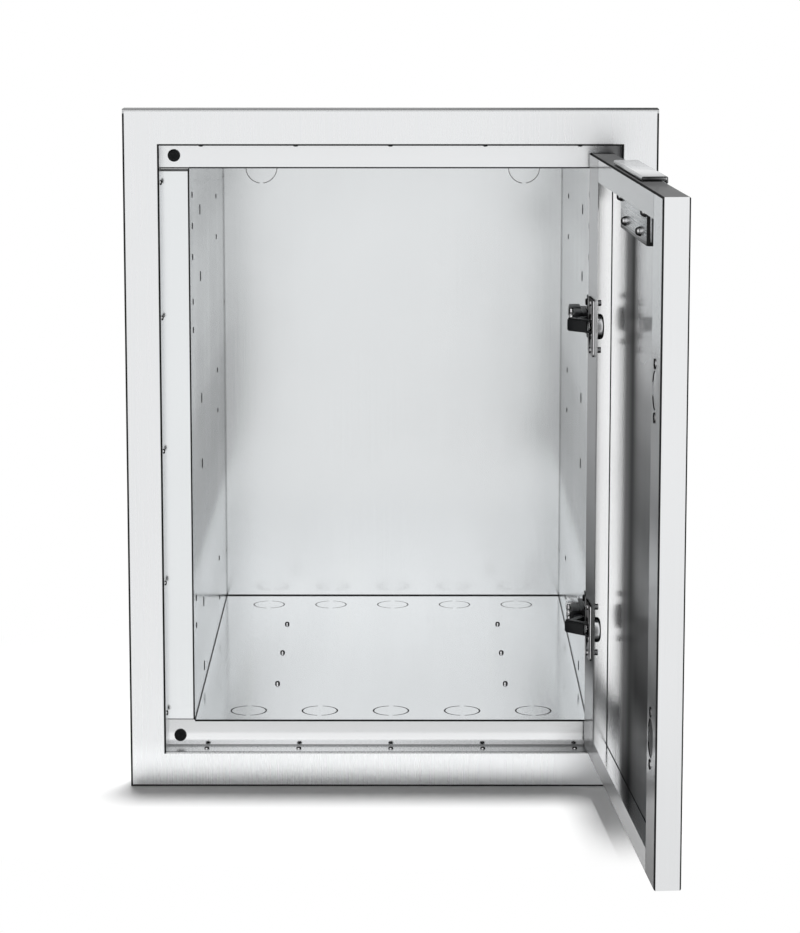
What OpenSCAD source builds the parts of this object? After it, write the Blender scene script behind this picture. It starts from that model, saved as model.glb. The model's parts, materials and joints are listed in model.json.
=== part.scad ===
// Built-in outdoor kitchen cabinet of folded stainless sheet: a face frame, a
// box behind it, and one inset door on two concealed hinges.
// X runs to the right, Y to the back, Z up. The origin is at the centre of the
// face frame's underside. The modules measure Y from the stop plane, where the
// frame meets the box, and from_stop moves each piece into place. Millimetres.

/* [Face frame] */
// Width of the face frame
frame_w = 586; // [560:1:640]
// Height of the face frame
frame_h = 763; // [740:1:820]
// Depth of the face frame, front to back
frame_d = 26; // [22:0.5:34]
// Width of each rail of the face frame
rail_w = 40; // [34:1:50]
// Thickness of the face frame's sheet
frame_sheet = 1.5; // [1:0.1:2]
// Outside radius of the face frame's bends
frame_bend = 2.5; // [2.2:0.1:3.5]
// Width of the lip that lies against the wall
back_lip = 12; // [8:1:18]

/* [Box] */
// Width of the stop on each side of the box's mouth
stop_w = 31; // [28:1:43]
// Inside depth of the box, from the stop plane
box_d = 613; // [540:1:700]
// Height of the sill under the box's mouth
sill_h = 30; // [24:1:40]
// Height of the header over the box's mouth
header_h = 27; // [20:1:40]
// Thickness of the box's sheet
sheet = 1.2; // [1:0.1:1.5]
// Outside radius of the box's bends
box_bend = 2; // [1.8:0.1:3]
// Depth of the lip that the face frame's screws hold
screw_lip = 20; // [16:1:21]
// Width of the flanges that join the panels
seam_flange = 15; // [12:1:20]
// Play between two panels
panel_gap = 0.4; // [0.2:0.1:1]

/* [Knockouts] */
// Diameter of each knockout
knockout_d = 40; // [30:1:50]
// Width of the slit round a knockout
knockout_slit = 0.8; // [0.5:0.1:1.2]
// Width of the two tabs that hold a knockout
knockout_tab = 5; // [3:0.5:8]
// Side by side spacing of the floor's knockouts
floor_knockout_pitch = 81.5; // [70:0.5:88]
// Front knockout row, from the stop plane
front_row_y = 39.5; // [30:0.5:60]
// Rear knockout row, from the back panel
rear_row_setback = 52; // [40:1:80]
// Distance between the back panel's two knockouts
back_knockout_span = 343.6; // [200:1:380]
// Back panel's knockouts, below the top panel
back_knockout_drop = 53; // [30:1:120]

/* [Side panel holes] */
// Column of slots, from the stop plane
slot_column_y = 165; // [120:1:220]
// Column of rear holes, from the stop plane
rear_column_y = 460; // [380:1:520]
// Column of front fixing holes, from the stop plane
fixing_column_y = 41; // [36:1:48]
// Length of a slot
slot_len = 10; // [7:0.5:14]
// Width of a slot and of a rear hole
slot_w = 4.5; // [3.5:0.1:6]
// Spacing of the two slots of a slide
slot_pair = 78; // [60:1:90]
// Spacing of the two rear holes of a slide
rear_pair = 51.4; // [40:0.2:60]
// Height of the lowest slide above the floor
slide_low = 59.5; // [50:0.5:80]
// Height of the middle slide above the floor
slide_mid = 303.5; // [280:0.5:320]
// Drop of the top slide below the top panel
slide_top_drop = 101; // [91:0.5:126]
// Highest front fixing hole, below the top panel
fixing_drop = 33; // [25:1:45]
// Spacing of the front fixing holes
fixing_pitch = 35; // [30:0.5:40]
// Diameter of the front fixing holes and hinge plate holes
fixing_hole_d = 5.2; // [5.2:0.1:7]

/* [Door] */
// Gap beside and under the closed door
door_gap = 3; // [3:0.5:5]
// Gap over the closed door, where the pull sits
door_top_gap = 8.5; // [8:0.5:14]
// Thickness of the door
door_t = 27; // [24:0.5:32]
// Distance from the stop plane to the closed door
door_set = 4; // [3.8:0.1:8]
// Thickness of the door's sheet
door_sheet = 1.2; // [1:0.1:1.5]
// Outside radius of the door's bends
door_bend = 2; // [1.8:0.1:3]
// Width of the door's rim on the hinge side
hinge_rim = 70; // [66:1:90]
// Width of the door's rim on the free side
free_rim = 52; // [50:1:70]
// Width of the door's top and bottom rims
cross_rim = 26; // [20:1:40]
// Width of the seams where two rims meet
rim_seam = 0.6; // [0.3:0.1:1]
// Angle that the door is drawn open at
door_open = 94.3; // [0:0.1:100]

/* [Pull] */
// Length of the pull
pull_len = 190; // [150:1:260]
// Depth of the pull, front to back
pull_w = 27; // [22:0.5:29]
// Thickness of the pull's rolled edge
pull_t = 4.5; // [3:0.1:5]
// Gap between the pull and the door's top
pull_rise = 0.8; // [0.5:0.1:1.5]
// Distance of the pull's back edge from the door's inner face
pull_setback = 3.7; // [2:0.1:6]
// Drop of the pull's front lip
pull_lip = 8.5; // [6:0.5:16]
// Thickness of the pull's leg
pull_sheet = 1.5; // [1:0.1:2]
// Length of the bracket inside the door
bracket_len = 180; // [150:1:200]
// Height of the bracket inside the door
bracket_h = 58; // [52:1:70]
// Distance of the bracket from the door's inner face
bracket_set = 11; // [8:0.5:14]
// Distance of the bracket's top edge below the door's top
bracket_drop = 6.5; // [4:0.5:10]
// Across the flange of a cap nut
nut_d = 10; // [8:0.5:12]
// Height of a cap nut's flange
nut_flange_h = 2; // [1.5:0.1:3]
// Height of a cap nut's dome
nut_dome_h = 3.6; // [3:0.1:5]
// Diameter of the studs under the cap nuts
nut_stud_d = 5; // [4:0.5:6]
// Spacing of the upper pair of cap nuts
nut_span_top = 160; // [120:1:166]
// Spacing of the lower pair of cap nuts
nut_span_low = 98; // [60:1:140]
// Upper pair of cap nuts, below the door's top
nut_drop_top = 31.5; // [28:0.5:36]
// Lower pair of cap nuts, below the door's top
nut_drop_low = 54; // [48:0.5:58]

/* [Hinges] */
// Drop of the upper hinge below the top panel
hinge_drop = 169.5; // [156:0.5:196]
// Height of the lower hinge above the floor
hinge_low = 116; // [110:0.5:140]
// Effective swing axis, from the door's hinge edge
pole_in = 12; // [11:0.1:13]
// Effective swing axis, from the door's inner face
pole_depth = 19; // [18:0.1:19.2]
// Outside diameter of the hinge cup
cup_d = 28; // [27.5:0.5:28.5]
// Depth of the hinge cup
cup_depth = 12; // [11:0.5:16]
// Wall of the hinge cup
cup_wall = 1; // [0.8:0.1:1.2]
// Cup centre, from the door's hinge edge
cup_inset = 32; // [31:0.5:33]
// Width of the cup's plate
cup_plate_w = 42; // [36:1:46]
// Height of the cup's plate
cup_plate_h = 63; // [60:1:70]
// Thickness of the cup's plate
cup_plate_t = 1.6; // [1.2:0.1:1.8]
// Spacing of the cup's two screws
cup_screw_pitch = 52; // [48:1:54]
// Depth of the cup's pivot below the door's inner face
pivot_sink = 1.3; // [1.2:0.1:1.5]
// Distance of the cup's pivot from the cup's centre, away from the hinge edge
pivot_shift = 1; // [0.8:0.1:1.2]
// Lean of the outer link, which keeps it as the door swings
link_lean = 41; // [40.6:0.2:41.4]
// Length of the outer link, pivot to pivot
link_reach = 31; // [30.5:0.1:31.5]
// Diameter of the links' pins
pin_d = 4; // [3:0.1:4.4]
// Radial play of a pin that turns in its bore
pin_play = 0.05; // [0.03:0.01:0.09]
// Radial play of the cup's pivot
cup_pivot_play = 0.25; // [0.15:0.05:0.4]
// Gap between two link plates that pass each other
link_gap = 0.2; // [0.1:0.05:0.3]
// Half height of the arm's tongue
tongue_half = 3; // [2.5:0.1:3.2]
// Thickness of a link plate
link_sheet = 1.9; // [1.5:0.1:2]
// Width of the links
link_w = 7.2; // [6.6:0.1:7.6]
// Length of the hinge arm behind the tongue
arm_len = 72; // [60:1:90]
// Height of the hinge arm
arm_h = 14; // [14:0.5:20]
// Thickness of the hinge arm
arm_t = 11; // [9:0.5:12]
// Start of the hinge arm, from the stop plane
arm_front = 16; // [15.5:0.5:18]
// Height of the block that carries the arm
arm_block = 7; // [6:0.1:8]
// Thickness of the hinge plate against the side panel
hinge_plate_t = 1.7; // [1.2:0.1:2.5]
// Height of the hinge plate
hinge_plate_h = 48; // [44:1:56]
// Spacing of the hinge plate's two screws
plate_screw_pitch = 32; // [30:0.5:36]
// Diameter of the arm's adjusting wheel
adjuster_d = 18; // [12:0.5:20]
// Thickness of the arm's adjusting wheel
adjuster_t = 3.5; // [2:0.5:4]

/* [Small parts] */
// Spacing of the face frame's screws, top and bottom
screw_pitch_x = 104; // [90:1:110]
// Spacing of the face frame's screws, left and right
screw_pitch_z = 150; // [130:1:152]
// Face frame's screws, in front of the stop plane
screw_row = 11.4; // [9:0.1:13]
// Diameter of the screw heads
screw_head_d = 7; // [6:0.5:8]
// Height of the screw heads
screw_head_h = 1.6; // [1.2:0.1:2]
// Diameter of the screws' shanks
screw_d = 4; // [3:0.1:4.4]
// Diameter of the rubber bumpers
bumper_d = 14; // [10:0.5:16]
// Gap between a bumper and the closed door
bumper_clear = 0.3; // [0.2:0.05:0.5]
// Bumper centres, from the recess's side
bumper_in = 14.5; // [12:0.5:20]
// Bumper centres, from the recess's top and bottom
bumper_up = 12.5; // [10:0.5:15]
// Distance between the two floor stiffeners
stiffener_span = 270; // [230:1:300]
// Middle of the floor stiffeners, from the stop plane
stiffener_mid = 305; // [280:1:330]
// Length of a floor stiffener
stiffener_len = 390; // [360:1:440]
// Width of a floor stiffener
stiffener_w = 30; // [24:1:40]
// Height of a floor stiffener
stiffener_h = 12; // [10:0.5:14]
// Spacing of a stiffener's rivets
stiffener_rivet_pitch = 147; // [120:1:160]
// Diameter of the rivet heads
rivet_head_d = 9; // [7:0.5:10]
// Height of the rivet heads
rivet_head_h = 2.2; // [1.5:0.1:3]
// Diameter of the rivets' shanks
rivet_d = 4.8; // [4:0.1:5]
// Play between a shank and its hole
hole_play = 0.1; // [0.05:0.05:0.2]
// Diameter of the flange of a spare threaded nut
spare_flange_d = 10.4; // [8:0.2:11]
// Height of the flange of a spare threaded nut
spare_flange_h = 0.8; // [0.5:0.1:1.2]
// Reach of a sleeve or threaded nut behind the rim's sheet
sleeve_reach = 5; // [4:0.5:7]
// Wall of a sleeve round a rivet-sized hole
sleeve_wall = 1; // [0.8:0.1:1.2]

/* [Hidden] */
$fn = 64;
eps = 0.01;
cut = 1;
steel = [0.80, 0.81, 0.82];
steel_dark = [0.30, 0.31, 0.33];
rubber = [0.06, 0.06, 0.06];

// Levels and half widths that several pieces share
open_half = frame_w / 2 - rail_w;
open_low = rail_w;
open_high = frame_h - rail_w;
wall_x = open_half - stop_w;
floor_z = open_low + sill_h;
ceiling_z = open_high - header_h;
lip_out = open_half + frame_sheet + 0.1;
lip_low = open_low - frame_sheet - 0.1;
lip_high = open_high + frame_sheet + 0.1;
flange_half = open_half + 1;
seam_low = floor_z - seam_flange;
seam_high = ceiling_z + seam_flange;
panel_half = wall_x - panel_gap / 4;
back_y = box_d;

// Door, as it stands when closed
door_w = 2 * open_half - 2 * door_gap;
door_h = open_high - open_low - door_gap - door_top_gap;
door_x = door_w / 2;
door_low = open_low + door_gap;
door_high = door_low + door_h;
inner_y = -door_set;
outer_y = -door_set - door_t;
skin_y = outer_y + door_sheet;
hinge_levels = [floor_z + hinge_low, ceiling_z - hinge_drop];
slide_levels = [floor_z + slide_low, floor_z + slide_mid, ceiling_z - slide_top_drop];

// Swing axis, cup pivot, arm pivot and elbow of a hinge
pole = [door_x - pole_in, inner_y - pole_depth];
cup_x = door_x - cup_inset;
cup_pivot = [cup_x - pivot_shift, inner_y - pivot_sink];
crank = cup_pivot - pole;
crank_len = norm(crank);
crank_angle = atan2(crank[1], crank[0]);
arm_pivot = pole - link_reach * [cos(link_lean), -sin(link_lean)];
elbow = arm_pivot + crank_len * [cos(crank_angle + door_open), sin(crank_angle + door_open)];
pin_r = pin_d / 2;
link_r = link_w / 2;
inner_link_half = tongue_half + link_gap + link_sheet;
outer_link_in = inner_link_half + link_gap;
outer_link_half = outer_link_in + link_sheet;
outer_link_r = link_r - 0.6;
boss_in = outer_link_half + 0.8;
arm_x = wall_x - arm_block;
cup_r = cup_d / 2;
mouth_r = cup_r - cup_wall;
cup_hole_w = cup_d + 2;
cup_hole_h = cup_d + 11;

// Pull
pull_low = door_high + pull_rise;
pull_high = pull_low + pull_t;
pull_back = inner_y - pull_setback;
pull_front = pull_back - pull_w;
bracket_y = inner_y - bracket_set;
bracket_high = door_high - bracket_drop;
leg_half = bracket_len / 2 - 6;
leg_y = bracket_y - door_sheet - 0.1;
nut_places = [
    for (s = [-1, 1]) [s * nut_span_top / 2, door_high - nut_drop_top],
    for (s = [-1, 1]) [s * nut_span_low / 2, door_high - nut_drop_low]
];

// Places of the repeated holes
floor_knockouts = [
    for (i = [-2:2]) [i * floor_knockout_pitch, front_row_y],
    for (i = [-2:2]) [i * floor_knockout_pitch, box_d - rear_row_setback]
];
side_slots = [for (z = slide_levels, s = [-1, 1]) z + s * slot_pair / 2];
rear_holes = [for (z = slide_levels, s = [-1, 1]) z + s * rear_pair / 2];
fixing_holes = [
    for (i = [0:2]) ceiling_z - fixing_drop - i * fixing_pitch,
    for (z = hinge_levels, s = [-1, 1]) z + s * plate_screw_pitch / 2
];
frame_screw_x = [for (i = [-2:2]) i * screw_pitch_x];
frame_screw_z = [for (i = [-2:2]) frame_h / 2 + i * screw_pitch_z];
stiffener_rivets = [
    for (s = [-1, 1], i = [-1:1]) [s * stiffener_span / 2, stiffener_mid + i * stiffener_rivet_pitch]
];
seam_row = [for (i = [0:3]) box_d * (0.1 + i * 0.26)];
seam_levels = [floor_z - seam_flange * 0.55, ceiling_z + seam_flange * 0.55];
back_row = [for (i = [-1:1]) i * wall_x * 0.72];
back_column = [for (i = [0:3]) floor_z + (ceiling_z - floor_z) * (0.1 + i * 0.266)];
back_flange_x = wall_x + sheet + 0.1;
back_rivet_y = box_d - seam_flange * 0.45;

// Moves its children from the stop plane to the frame's middle
module from_stop() {
    translate([0, frame_d / 2, 0])
        children();
}

// Turns its children from the closed door's place to the drawn one
module on_door() {
    translate([pole[0], pole[1], 0])
        rotate([0, 0, door_open])
            translate([-pole[0], -pole[1], 0])
                children();
}

// Block given by two opposite corners
module block(low, high) {
    translate(low)
        cube(high - low);
}

// Round bar along X, Y or Z from a point
module bar_x(at, r, len) {
    translate(at)
        rotate([0, 90, 0])
            cylinder(r = r, h = len);
}

module bar_y(at, r, len) {
    translate(at)
        rotate([-90, 0, 0])
            cylinder(r = r, h = len);
}

module bar_z(at, r, len) {
    translate(at)
        cylinder(r = r, h = len);
}

// Domed head that stands on the XY plane
module dome(r, h) {
    ball = (r * r + h * h) / (2 * h);
    intersection() {
        translate([0, 0, h - ball])
            sphere(r = ball);
        cylinder(r = r, h = h + cut);
    }
}

// Domed head with its shank through the XY plane
module stud(head_r, head_h, shank_r, reach) {
    dome(head_r, head_h);
    translate([0, 0, -reach])
        cylinder(r = shank_r, h = reach + eps);
}

// Rivet with a domed head and a flat tail head under a stack of sheet
module rivet(grip) {
    stud(rivet_head_d / 2, rivet_head_h, rivet_d / 2, grip + eps);
    translate([0, 0, -grip - rivet_head_h * 0.7])
        cylinder(r = rivet_d * 0.75, h = rivet_head_h * 0.7);
}

// Flat rectangle with round corners
module round_rect(w, h, r) {
    square([w - 2 * r, h], center = true);
    square([w, h - 2 * r], center = true);
    for (sx = [-1, 1], sy = [-1, 1])
        translate([sx * (w / 2 - r), sy * (h / 2 - r)])
            circle(r = r);
}

// Rectangle from the origin with its two corners at y = 0 rounded
module front_round(w, h, r) {
    translate([r, 0])
        square([w - 2 * r, h]);
    translate([0, r])
        square([w, h - r]);
    for (x = [r, w - r])
        translate([x, r])
            circle(r = r);
}

// Quarter of a bend of sheet, filling the corner at the origin towards +x +y
module bend(r, t) {
    intersection() {
        square([r, r]);
        translate([r, r])
            difference() {
                circle(r = r);
                circle(r = r - t);
            }
    }
}

// Rectangle from the origin whose two sides flare out to a tangent at y = 0
module front_flare(w, h, r) {
    square([w, h]);
    difference() {
        translate([-r, -cut])
            square([w + 2 * r, r + cut]);
        for (x = [-r, w + r])
            translate([x, r])
                circle(r = r);
    }
}

// Outline of the face frame with round front edges, shrunk by a margin
module frame_block(m) {
    r = frame_bend - m;
    w = frame_w - 2 * m;
    h = frame_h - 2 * m;
    depth = frame_d - 2 * m;
    translate([0, m - frame_d, m])
        intersection() {
            translate([-w / 2, 0, 0])
                linear_extrude(height = h)
                    front_round(w, depth, r);
            translate([w / 2, 0, 0])
                rotate([0, -90, 0])
                    linear_extrude(height = w)
                        front_round(h, depth, r);
        }
}

// Mouth of the face frame with flared front edges, grown by a margin
module mouth_block(m) {
    r = frame_bend - m;
    w = 2 * (open_half + m);
    h = open_high - open_low + 2 * m;
    depth = frame_d + 2 * cut;
    translate([0, m - frame_d, open_low - m])
        intersection() {
            translate([-w / 2, 0, -rail_w / 2])
                linear_extrude(height = h + rail_w)
                    front_flare(w, depth, r);
            translate([(w + rail_w) / 2, 0, 0])
                rotate([0, -90, 0])
                    linear_extrude(height = w + rail_w)
                        front_flare(h, depth, r);
        }
}

// Holes for the screws that join the face frame to the box
module frame_screw_holes(r) {
    depth = 6;
    for (x = frame_screw_x, z = [open_low - depth, open_high - cut])
        bar_z([x, -screw_row, z], r, depth + cut);
    for (z = frame_screw_z, x = [-open_half - depth, open_half - cut])
        bar_x([x, -screw_row, z], r, depth + cut);
}

module face_frame() {
    lip_half = frame_w / 2 - back_lip;
    color(steel)
        from_stop()
            difference() {
                frame_block(0);
                mouth_block(0);
                difference() {
                    union() {
                        frame_block(frame_sheet);
                        block([-lip_half, -frame_d / 2, back_lip], [lip_half, cut, frame_h - back_lip]);
                    }
                    mouth_block(frame_sheet);
                }
                frame_screw_holes(screw_d / 2 + hole_play);
            }
}

// Slit round one knockout in a level sheet, with its two tabs left whole
module knockout_cut() {
    r = knockout_d / 2;
    difference() {
        cylinder(r = r, h = sheet + 2 * cut, center = true);
        cylinder(r = r - knockout_slit, h = sheet + 4 * cut, center = true);
        cube([knockout_tab, knockout_d + cut, sheet + 4 * cut], center = true);
    }
}

// Section of the floor panel: x front to back, y up, with the sill and screw lip
module sill_section() {
    translate([box_bend, floor_z - sheet])
        square([box_bend, sheet]);
    translate([0, floor_z])
        mirror([0, 1])
            bend(box_bend, sheet);
    sill_plate(floor_z - box_bend);
}

// Upright part of the sill, up to a given height, with its screw lip
module sill_plate(top) {
    translate([0, lip_low - sheet])
        square([sheet, top - lip_low + sheet]);
    translate([-screw_lip, lip_low - sheet])
        square([screw_lip + sheet, sheet]);
}

// Stretches a section drawn in the YZ plane along X, centred
module along_x(half) {
    translate([-half, 0, 0])
        rotate([90, 0, 90])
            linear_extrude(height = 2 * half)
                children();
}

// Floor or top panel without its holes, drawn as a floor
module level_panel() {
    side = panel_half;
    back = back_y - 0.1;
    along_x(side)
        sill_section();
    for (s = [-1, 1])
        translate([s * (side + flange_half) / 2, 0, 0])
            along_x((flange_half - side) / 2 + eps)
                sill_plate(floor_z - eps);
    block([-side, 2 * box_bend - eps, floor_z - sheet], [side, back, floor_z]);
    for (s = [-1, 1])
        translate([s * (side - sheet / 2), 0, 0])
            block([-sheet / 2, 2 * box_bend, seam_low], [sheet / 2, back, floor_z]);
    block([-side, back - sheet, seam_low], [side, back, floor_z]);
}

module floor_panel() {
    color(steel)
        from_stop()
            difference() {
                level_panel();
                for (p = floor_knockouts)
                    translate([p[0], p[1], floor_z - sheet / 2])
                        knockout_cut();
                for (p = stiffener_rivets)
                    bar_z([p[0], p[1], floor_z - sheet - cut], rivet_d / 2 + hole_play, sheet + 2 * cut);
                seam_holes();
                back_holes();
                frame_screw_holes(screw_d / 2 + hole_play);
                bumper_holes();
            }
}

// Lowers the floor's shape upside down to the top panel's place
module as_top() {
    translate([0, 0, floor_z + ceiling_z])
        mirror([0, 0, 1])
            children();
}

// Header of the top panel, which is not as high as the sill
module header_plate(half, base) {
    block([-half, 0, base], [half, sheet, lip_high + sheet]);
    block([-half, -screw_lip, lip_high], [half, sheet, lip_high + sheet]);
}

module top_panel() {
    side = panel_half;
    back = back_y - 0.1;
    color(steel)
        from_stop()
            difference() {
                union() {
                    along_x(side) {
                        translate([0, ceiling_z])
                            bend(box_bend, sheet);
                        translate([box_bend, ceiling_z])
                            square([box_bend, sheet]);
                    }
                    header_plate(side, ceiling_z + box_bend);
                    for (s = [-1, 1])
                        translate([s * (side + flange_half) / 2, 0, 0])
                            header_plate((flange_half - side) / 2 + eps, ceiling_z + eps);
                    block([-side, 2 * box_bend - eps, ceiling_z], [side, back, ceiling_z + sheet]);
                    for (s = [-1, 1])
                        translate([s * (side - sheet / 2), 0, 0])
                            block([-sheet / 2, 2 * box_bend, ceiling_z], [sheet / 2, back, seam_high]);
                    block([-side, back - sheet, ceiling_z], [side, back, seam_high]);
                }
                seam_holes();
                back_holes();
                frame_screw_holes(screw_d / 2 + hole_play);
                bumper_holes();
            }
}

// Section of a side panel: wall, stop flange and screw lip
module side_section() {
    translate([wall_x, box_bend])
        square([sheet, box_bend]);
    translate([wall_x, 0])
        bend(box_bend, sheet);
    translate([wall_x + box_bend, 0])
        square([lip_out + sheet - wall_x - box_bend, sheet]);
    translate([lip_out, -screw_lip])
        square([sheet, screw_lip + sheet]);
}

// Upright slot through a side panel, centred on the origin
module side_slot() {
    half = (slot_len - slot_w) / 2;
    for (s = [-1, 1])
        bar_x([-2 * cut, 0, s * half], slot_w / 2, sheet + 4 * cut);
    block([-2 * cut, -slot_w / 2, -half], [sheet + 2 * cut, slot_w / 2, half]);
}

module right_panel() {
    start = sheet + panel_gap;
    difference() {
        union() {
            translate([0, 0, floor_z + panel_gap])
                linear_extrude(height = ceiling_z - floor_z - 2 * panel_gap)
                    side_section();
            block([wall_x, 2 * box_bend - eps, floor_z + panel_gap],
                [wall_x + sheet, back_y - 0.1, ceiling_z - panel_gap]);
            block([wall_x, 2 * box_bend, seam_low], [wall_x + sheet, back_y - 0.1, seam_high]);
        }
        for (z = side_slots)
            translate([wall_x, slot_column_y, z])
                side_slot();
        for (z = rear_holes)
            bar_x([wall_x - cut, rear_column_y, z], slot_w / 2, sheet + 2 * cut);
        for (z = fixing_holes)
            bar_x([wall_x - cut, fixing_column_y, z], fixing_hole_d / 2, sheet + 2 * cut);
        seam_holes();
        back_side_holes();
        frame_screw_holes(screw_d / 2 + hole_play);
    }
}

module right_side_panel() {
    color(steel)
        from_stop()
            right_panel();
}

module left_side_panel() {
    color(steel)
        from_stop()
            mirror([1, 0, 0])
                right_panel();
}

// Back panel, with a flange that wraps each side panel's rear edge
module back_panel() {
    half = back_flange_x + sheet;
    back_knockout_z = ceiling_z - back_knockout_drop;
    color(steel)
        from_stop()
            difference() {
                union() {
                    block([-half, back_y, seam_low], [half, back_y + sheet, seam_high]);
                    for (s = [-1, 1])
                        translate([s * (half - sheet / 2), 0, 0])
                            block([-sheet / 2, back_y - seam_flange, seam_low],
                                [sheet / 2, back_y + sheet, seam_high]);
                }
                for (s = [-1, 1])
                    translate([s * back_knockout_span / 2, back_y + sheet / 2, back_knockout_z])
                        rotate([90, 0, 0])
                            knockout_cut();
                back_holes();
                back_side_holes();
            }
}

// Channel under the floor, its web against the sheet
module stiffener(side) {
    x = side * stiffener_span / 2;
    top = floor_z - sheet;
    y0 = stiffener_mid - stiffener_len / 2;
    half = stiffener_w / 2;
    difference() {
        block([x - half, y0, top - stiffener_h], [x + half, y0 + stiffener_len, top]);
        block([x - half + sheet, y0 - cut, top - stiffener_h - cut],
            [x + half - sheet, y0 + stiffener_len + cut, top - sheet]);
        for (p = stiffener_rivets)
            bar_z([p[0], p[1], top - sheet - cut], rivet_d / 2 + hole_play, sheet + 2 * cut);
    }
}

module left_stiffener() {
    color(steel)
        from_stop()
            stiffener(-1);
}

module right_stiffener() {
    color(steel)
        from_stop()
            stiffener(1);
}

module stiffener_rivets() {
    color(steel)
        from_stop()
            for (p = stiffener_rivets)
                translate([p[0], p[1], floor_z])
                    rivet(2 * sheet);
}

// Holes through the side panels and the flanges of the floor and top
module seam_holes() {
    r = rivet_d / 2 + hole_play;
    for (s = [-1, 1], z = seam_levels, y = seam_row)
        bar_x([s * wall_x - 3, y, z], r, 6);
}

module seam_rivets() {
    color(steel)
        from_stop()
            for (s = [-1, 1], z = seam_levels, y = seam_row)
                translate([s * (wall_x + sheet), y, z])
                    rotate([0, s * 90, 0])
                        rivet(wall_x + 2 * sheet - panel_half);
}

// Holes through the back panel and the rear flanges of the floor and top
module back_holes() {
    r = rivet_d / 2 + hole_play;
    for (x = back_row, z = seam_levels)
        bar_y([x, back_y - 3, z], r, 6);
}

// Holes through the back panel's side flanges and the side panels
module back_side_holes() {
    r = rivet_d / 2 + hole_play;
    for (s = [-1, 1], z = back_column)
        bar_x([s * (wall_x + sheet) - 4, back_rivet_y, z], r, 8);
}

module back_rivets() {
    color(steel)
        from_stop() {
            for (x = back_row, z = seam_levels)
                translate([x, back_y + sheet, z])
                    rotate([-90, 0, 0])
                        rivet(2 * sheet + 0.1);
            for (s = [-1, 1], z = back_column)
                translate([s * (back_flange_x + sheet), back_rivet_y, z])
                    rotate([0, s * 90, 0])
                        rivet(2 * sheet + 0.1);
        }
}

// Screws in the recess, through the face frame into the box's lips
module frame_screws() {
    reach = frame_sheet + 0.1 + sheet + 2;
    color(steel)
        from_stop() {
            for (x = frame_screw_x) {
                translate([x, -screw_row, open_low])
                    stud(screw_head_d / 2, screw_head_h, screw_d / 2, reach);
                translate([x, -screw_row, open_high])
                    rotate([180, 0, 0])
                        stud(screw_head_d / 2, screw_head_h, screw_d / 2, reach);
            }
            for (z = frame_screw_z, s = [-1, 1])
                translate([s * open_half, -screw_row, z])
                    rotate([0, -s * 90, 0])
                        stud(screw_head_d / 2, screw_head_h, screw_d / 2, reach);
        }
}

// Centres of the two bumpers in the XZ plane
bumper_places = [
    [-open_half + bumper_in, open_low + bumper_up],
    [-open_half + bumper_in, open_high - bumper_up]
];
bumper_stem = bumper_d * 0.2;

module bumper_holes() {
    for (p = bumper_places)
        bar_y([p[0], -cut, p[1]], bumper_stem + hole_play, sheet + 2 * cut);
}

module door_bumpers() {
    h = door_set - bumper_clear;
    color(rubber)
        from_stop()
            for (p = bumper_places) {
                translate([p[0], 0, p[1]])
                    rotate([90, 0, 0])
                        difference() {
                            cylinder(r1 = bumper_d / 2, r2 = bumper_d / 2 - 0.5, h = h);
                            translate([0, 0, h - 0.6])
                                cylinder(r = bumper_d * 0.2, h = cut);
                        }
                bar_y([p[0], -eps, p[1]], bumper_stem, sheet + 0.3 + eps);
                bar_y([p[0], sheet + 0.3, p[1]], bumper_stem * 1.4, 2);
            }
}

// Plate that carries a hinge arm, against the right side panel
module hinge_plate(z) {
    face = wall_x - hinge_plate_t;
    block_half = arm_h / 2 - 1;
    wing = 8;
    difference() {
        union() {
            block([face, fixing_column_y - wing, z - hinge_plate_h / 2],
                [wall_x, fixing_column_y + wing, z + hinge_plate_h / 2]);
            block([arm_x, arm_front + 4, z - block_half],
                [wall_x, arm_front + arm_len - 6, z + block_half]);
        }
        for (s = [-1, 1])
            bar_x([face - cut, fixing_column_y, z + s * plate_screw_pitch / 2],
                rivet_d / 2 + hole_play, hinge_plate_t + 2 * cut);
    }
}

module upper_hinge_plate() {
    color(steel)
        from_stop()
            hinge_plate(hinge_levels[1]);
}

module lower_hinge_plate() {
    color(steel)
        from_stop()
            hinge_plate(hinge_levels[0]);
}

// Screw with its nut, through the hinge plate and the side panel
module hinge_plate_screws() {
    color(steel)
        from_stop()
            for (z = hinge_levels, s = [-1, 1])
                translate([wall_x - hinge_plate_t, fixing_column_y, z + s * plate_screw_pitch / 2])
                    rotate([0, -90, 0]) {
                        stud(rivet_head_d / 2, rivet_head_h, rivet_d / 2, hinge_plate_t + sheet + 6);
                        translate([0, 0, -hinge_plate_t - sheet - 4])
                            cylinder(r = rivet_head_d / 2, h = 4, $fn = 6);
                    }
}

// Arm of a hinge: a bar along the block, and a tongue that holds the first pivot
module hinge_arm(z) {
    low = [arm_x - arm_t, arm_front, z - arm_h / 2];
    high = [arm_x, arm_front + arm_len, z + arm_h / 2];
    difference() {
        union() {
            block(low, high);
            translate([0, 0, z - tongue_half])
                linear_extrude(height = 2 * tongue_half) {
                    polygon([
                        [arm_pivot[0] - link_r, arm_pivot[1]],
                        [arm_pivot[0] + link_r, arm_pivot[1]],
                        [arm_x, arm_front + eps],
                        [arm_x - arm_t + 2, arm_front + eps]
                    ]);
                    translate(arm_pivot)
                        circle(r = link_r);
                }
        }
        bar_z([arm_pivot[0], arm_pivot[1], z - arm_h], pin_r + pin_play, 2 * arm_h);
        for (s = [-1, 1])
            block([low[0] + 2.5, low[1] + 3, z + s * arm_h / 2 - 2],
                [high[0] - 2.5, high[1] - 3, z + s * arm_h / 2 + 2]);
    }
}

module upper_hinge_arm() {
    color(steel_dark)
        from_stop()
            hinge_arm(hinge_levels[1]);
}

module lower_hinge_arm() {
    color(steel_dark)
        from_stop()
            hinge_arm(hinge_levels[0]);
}

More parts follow.
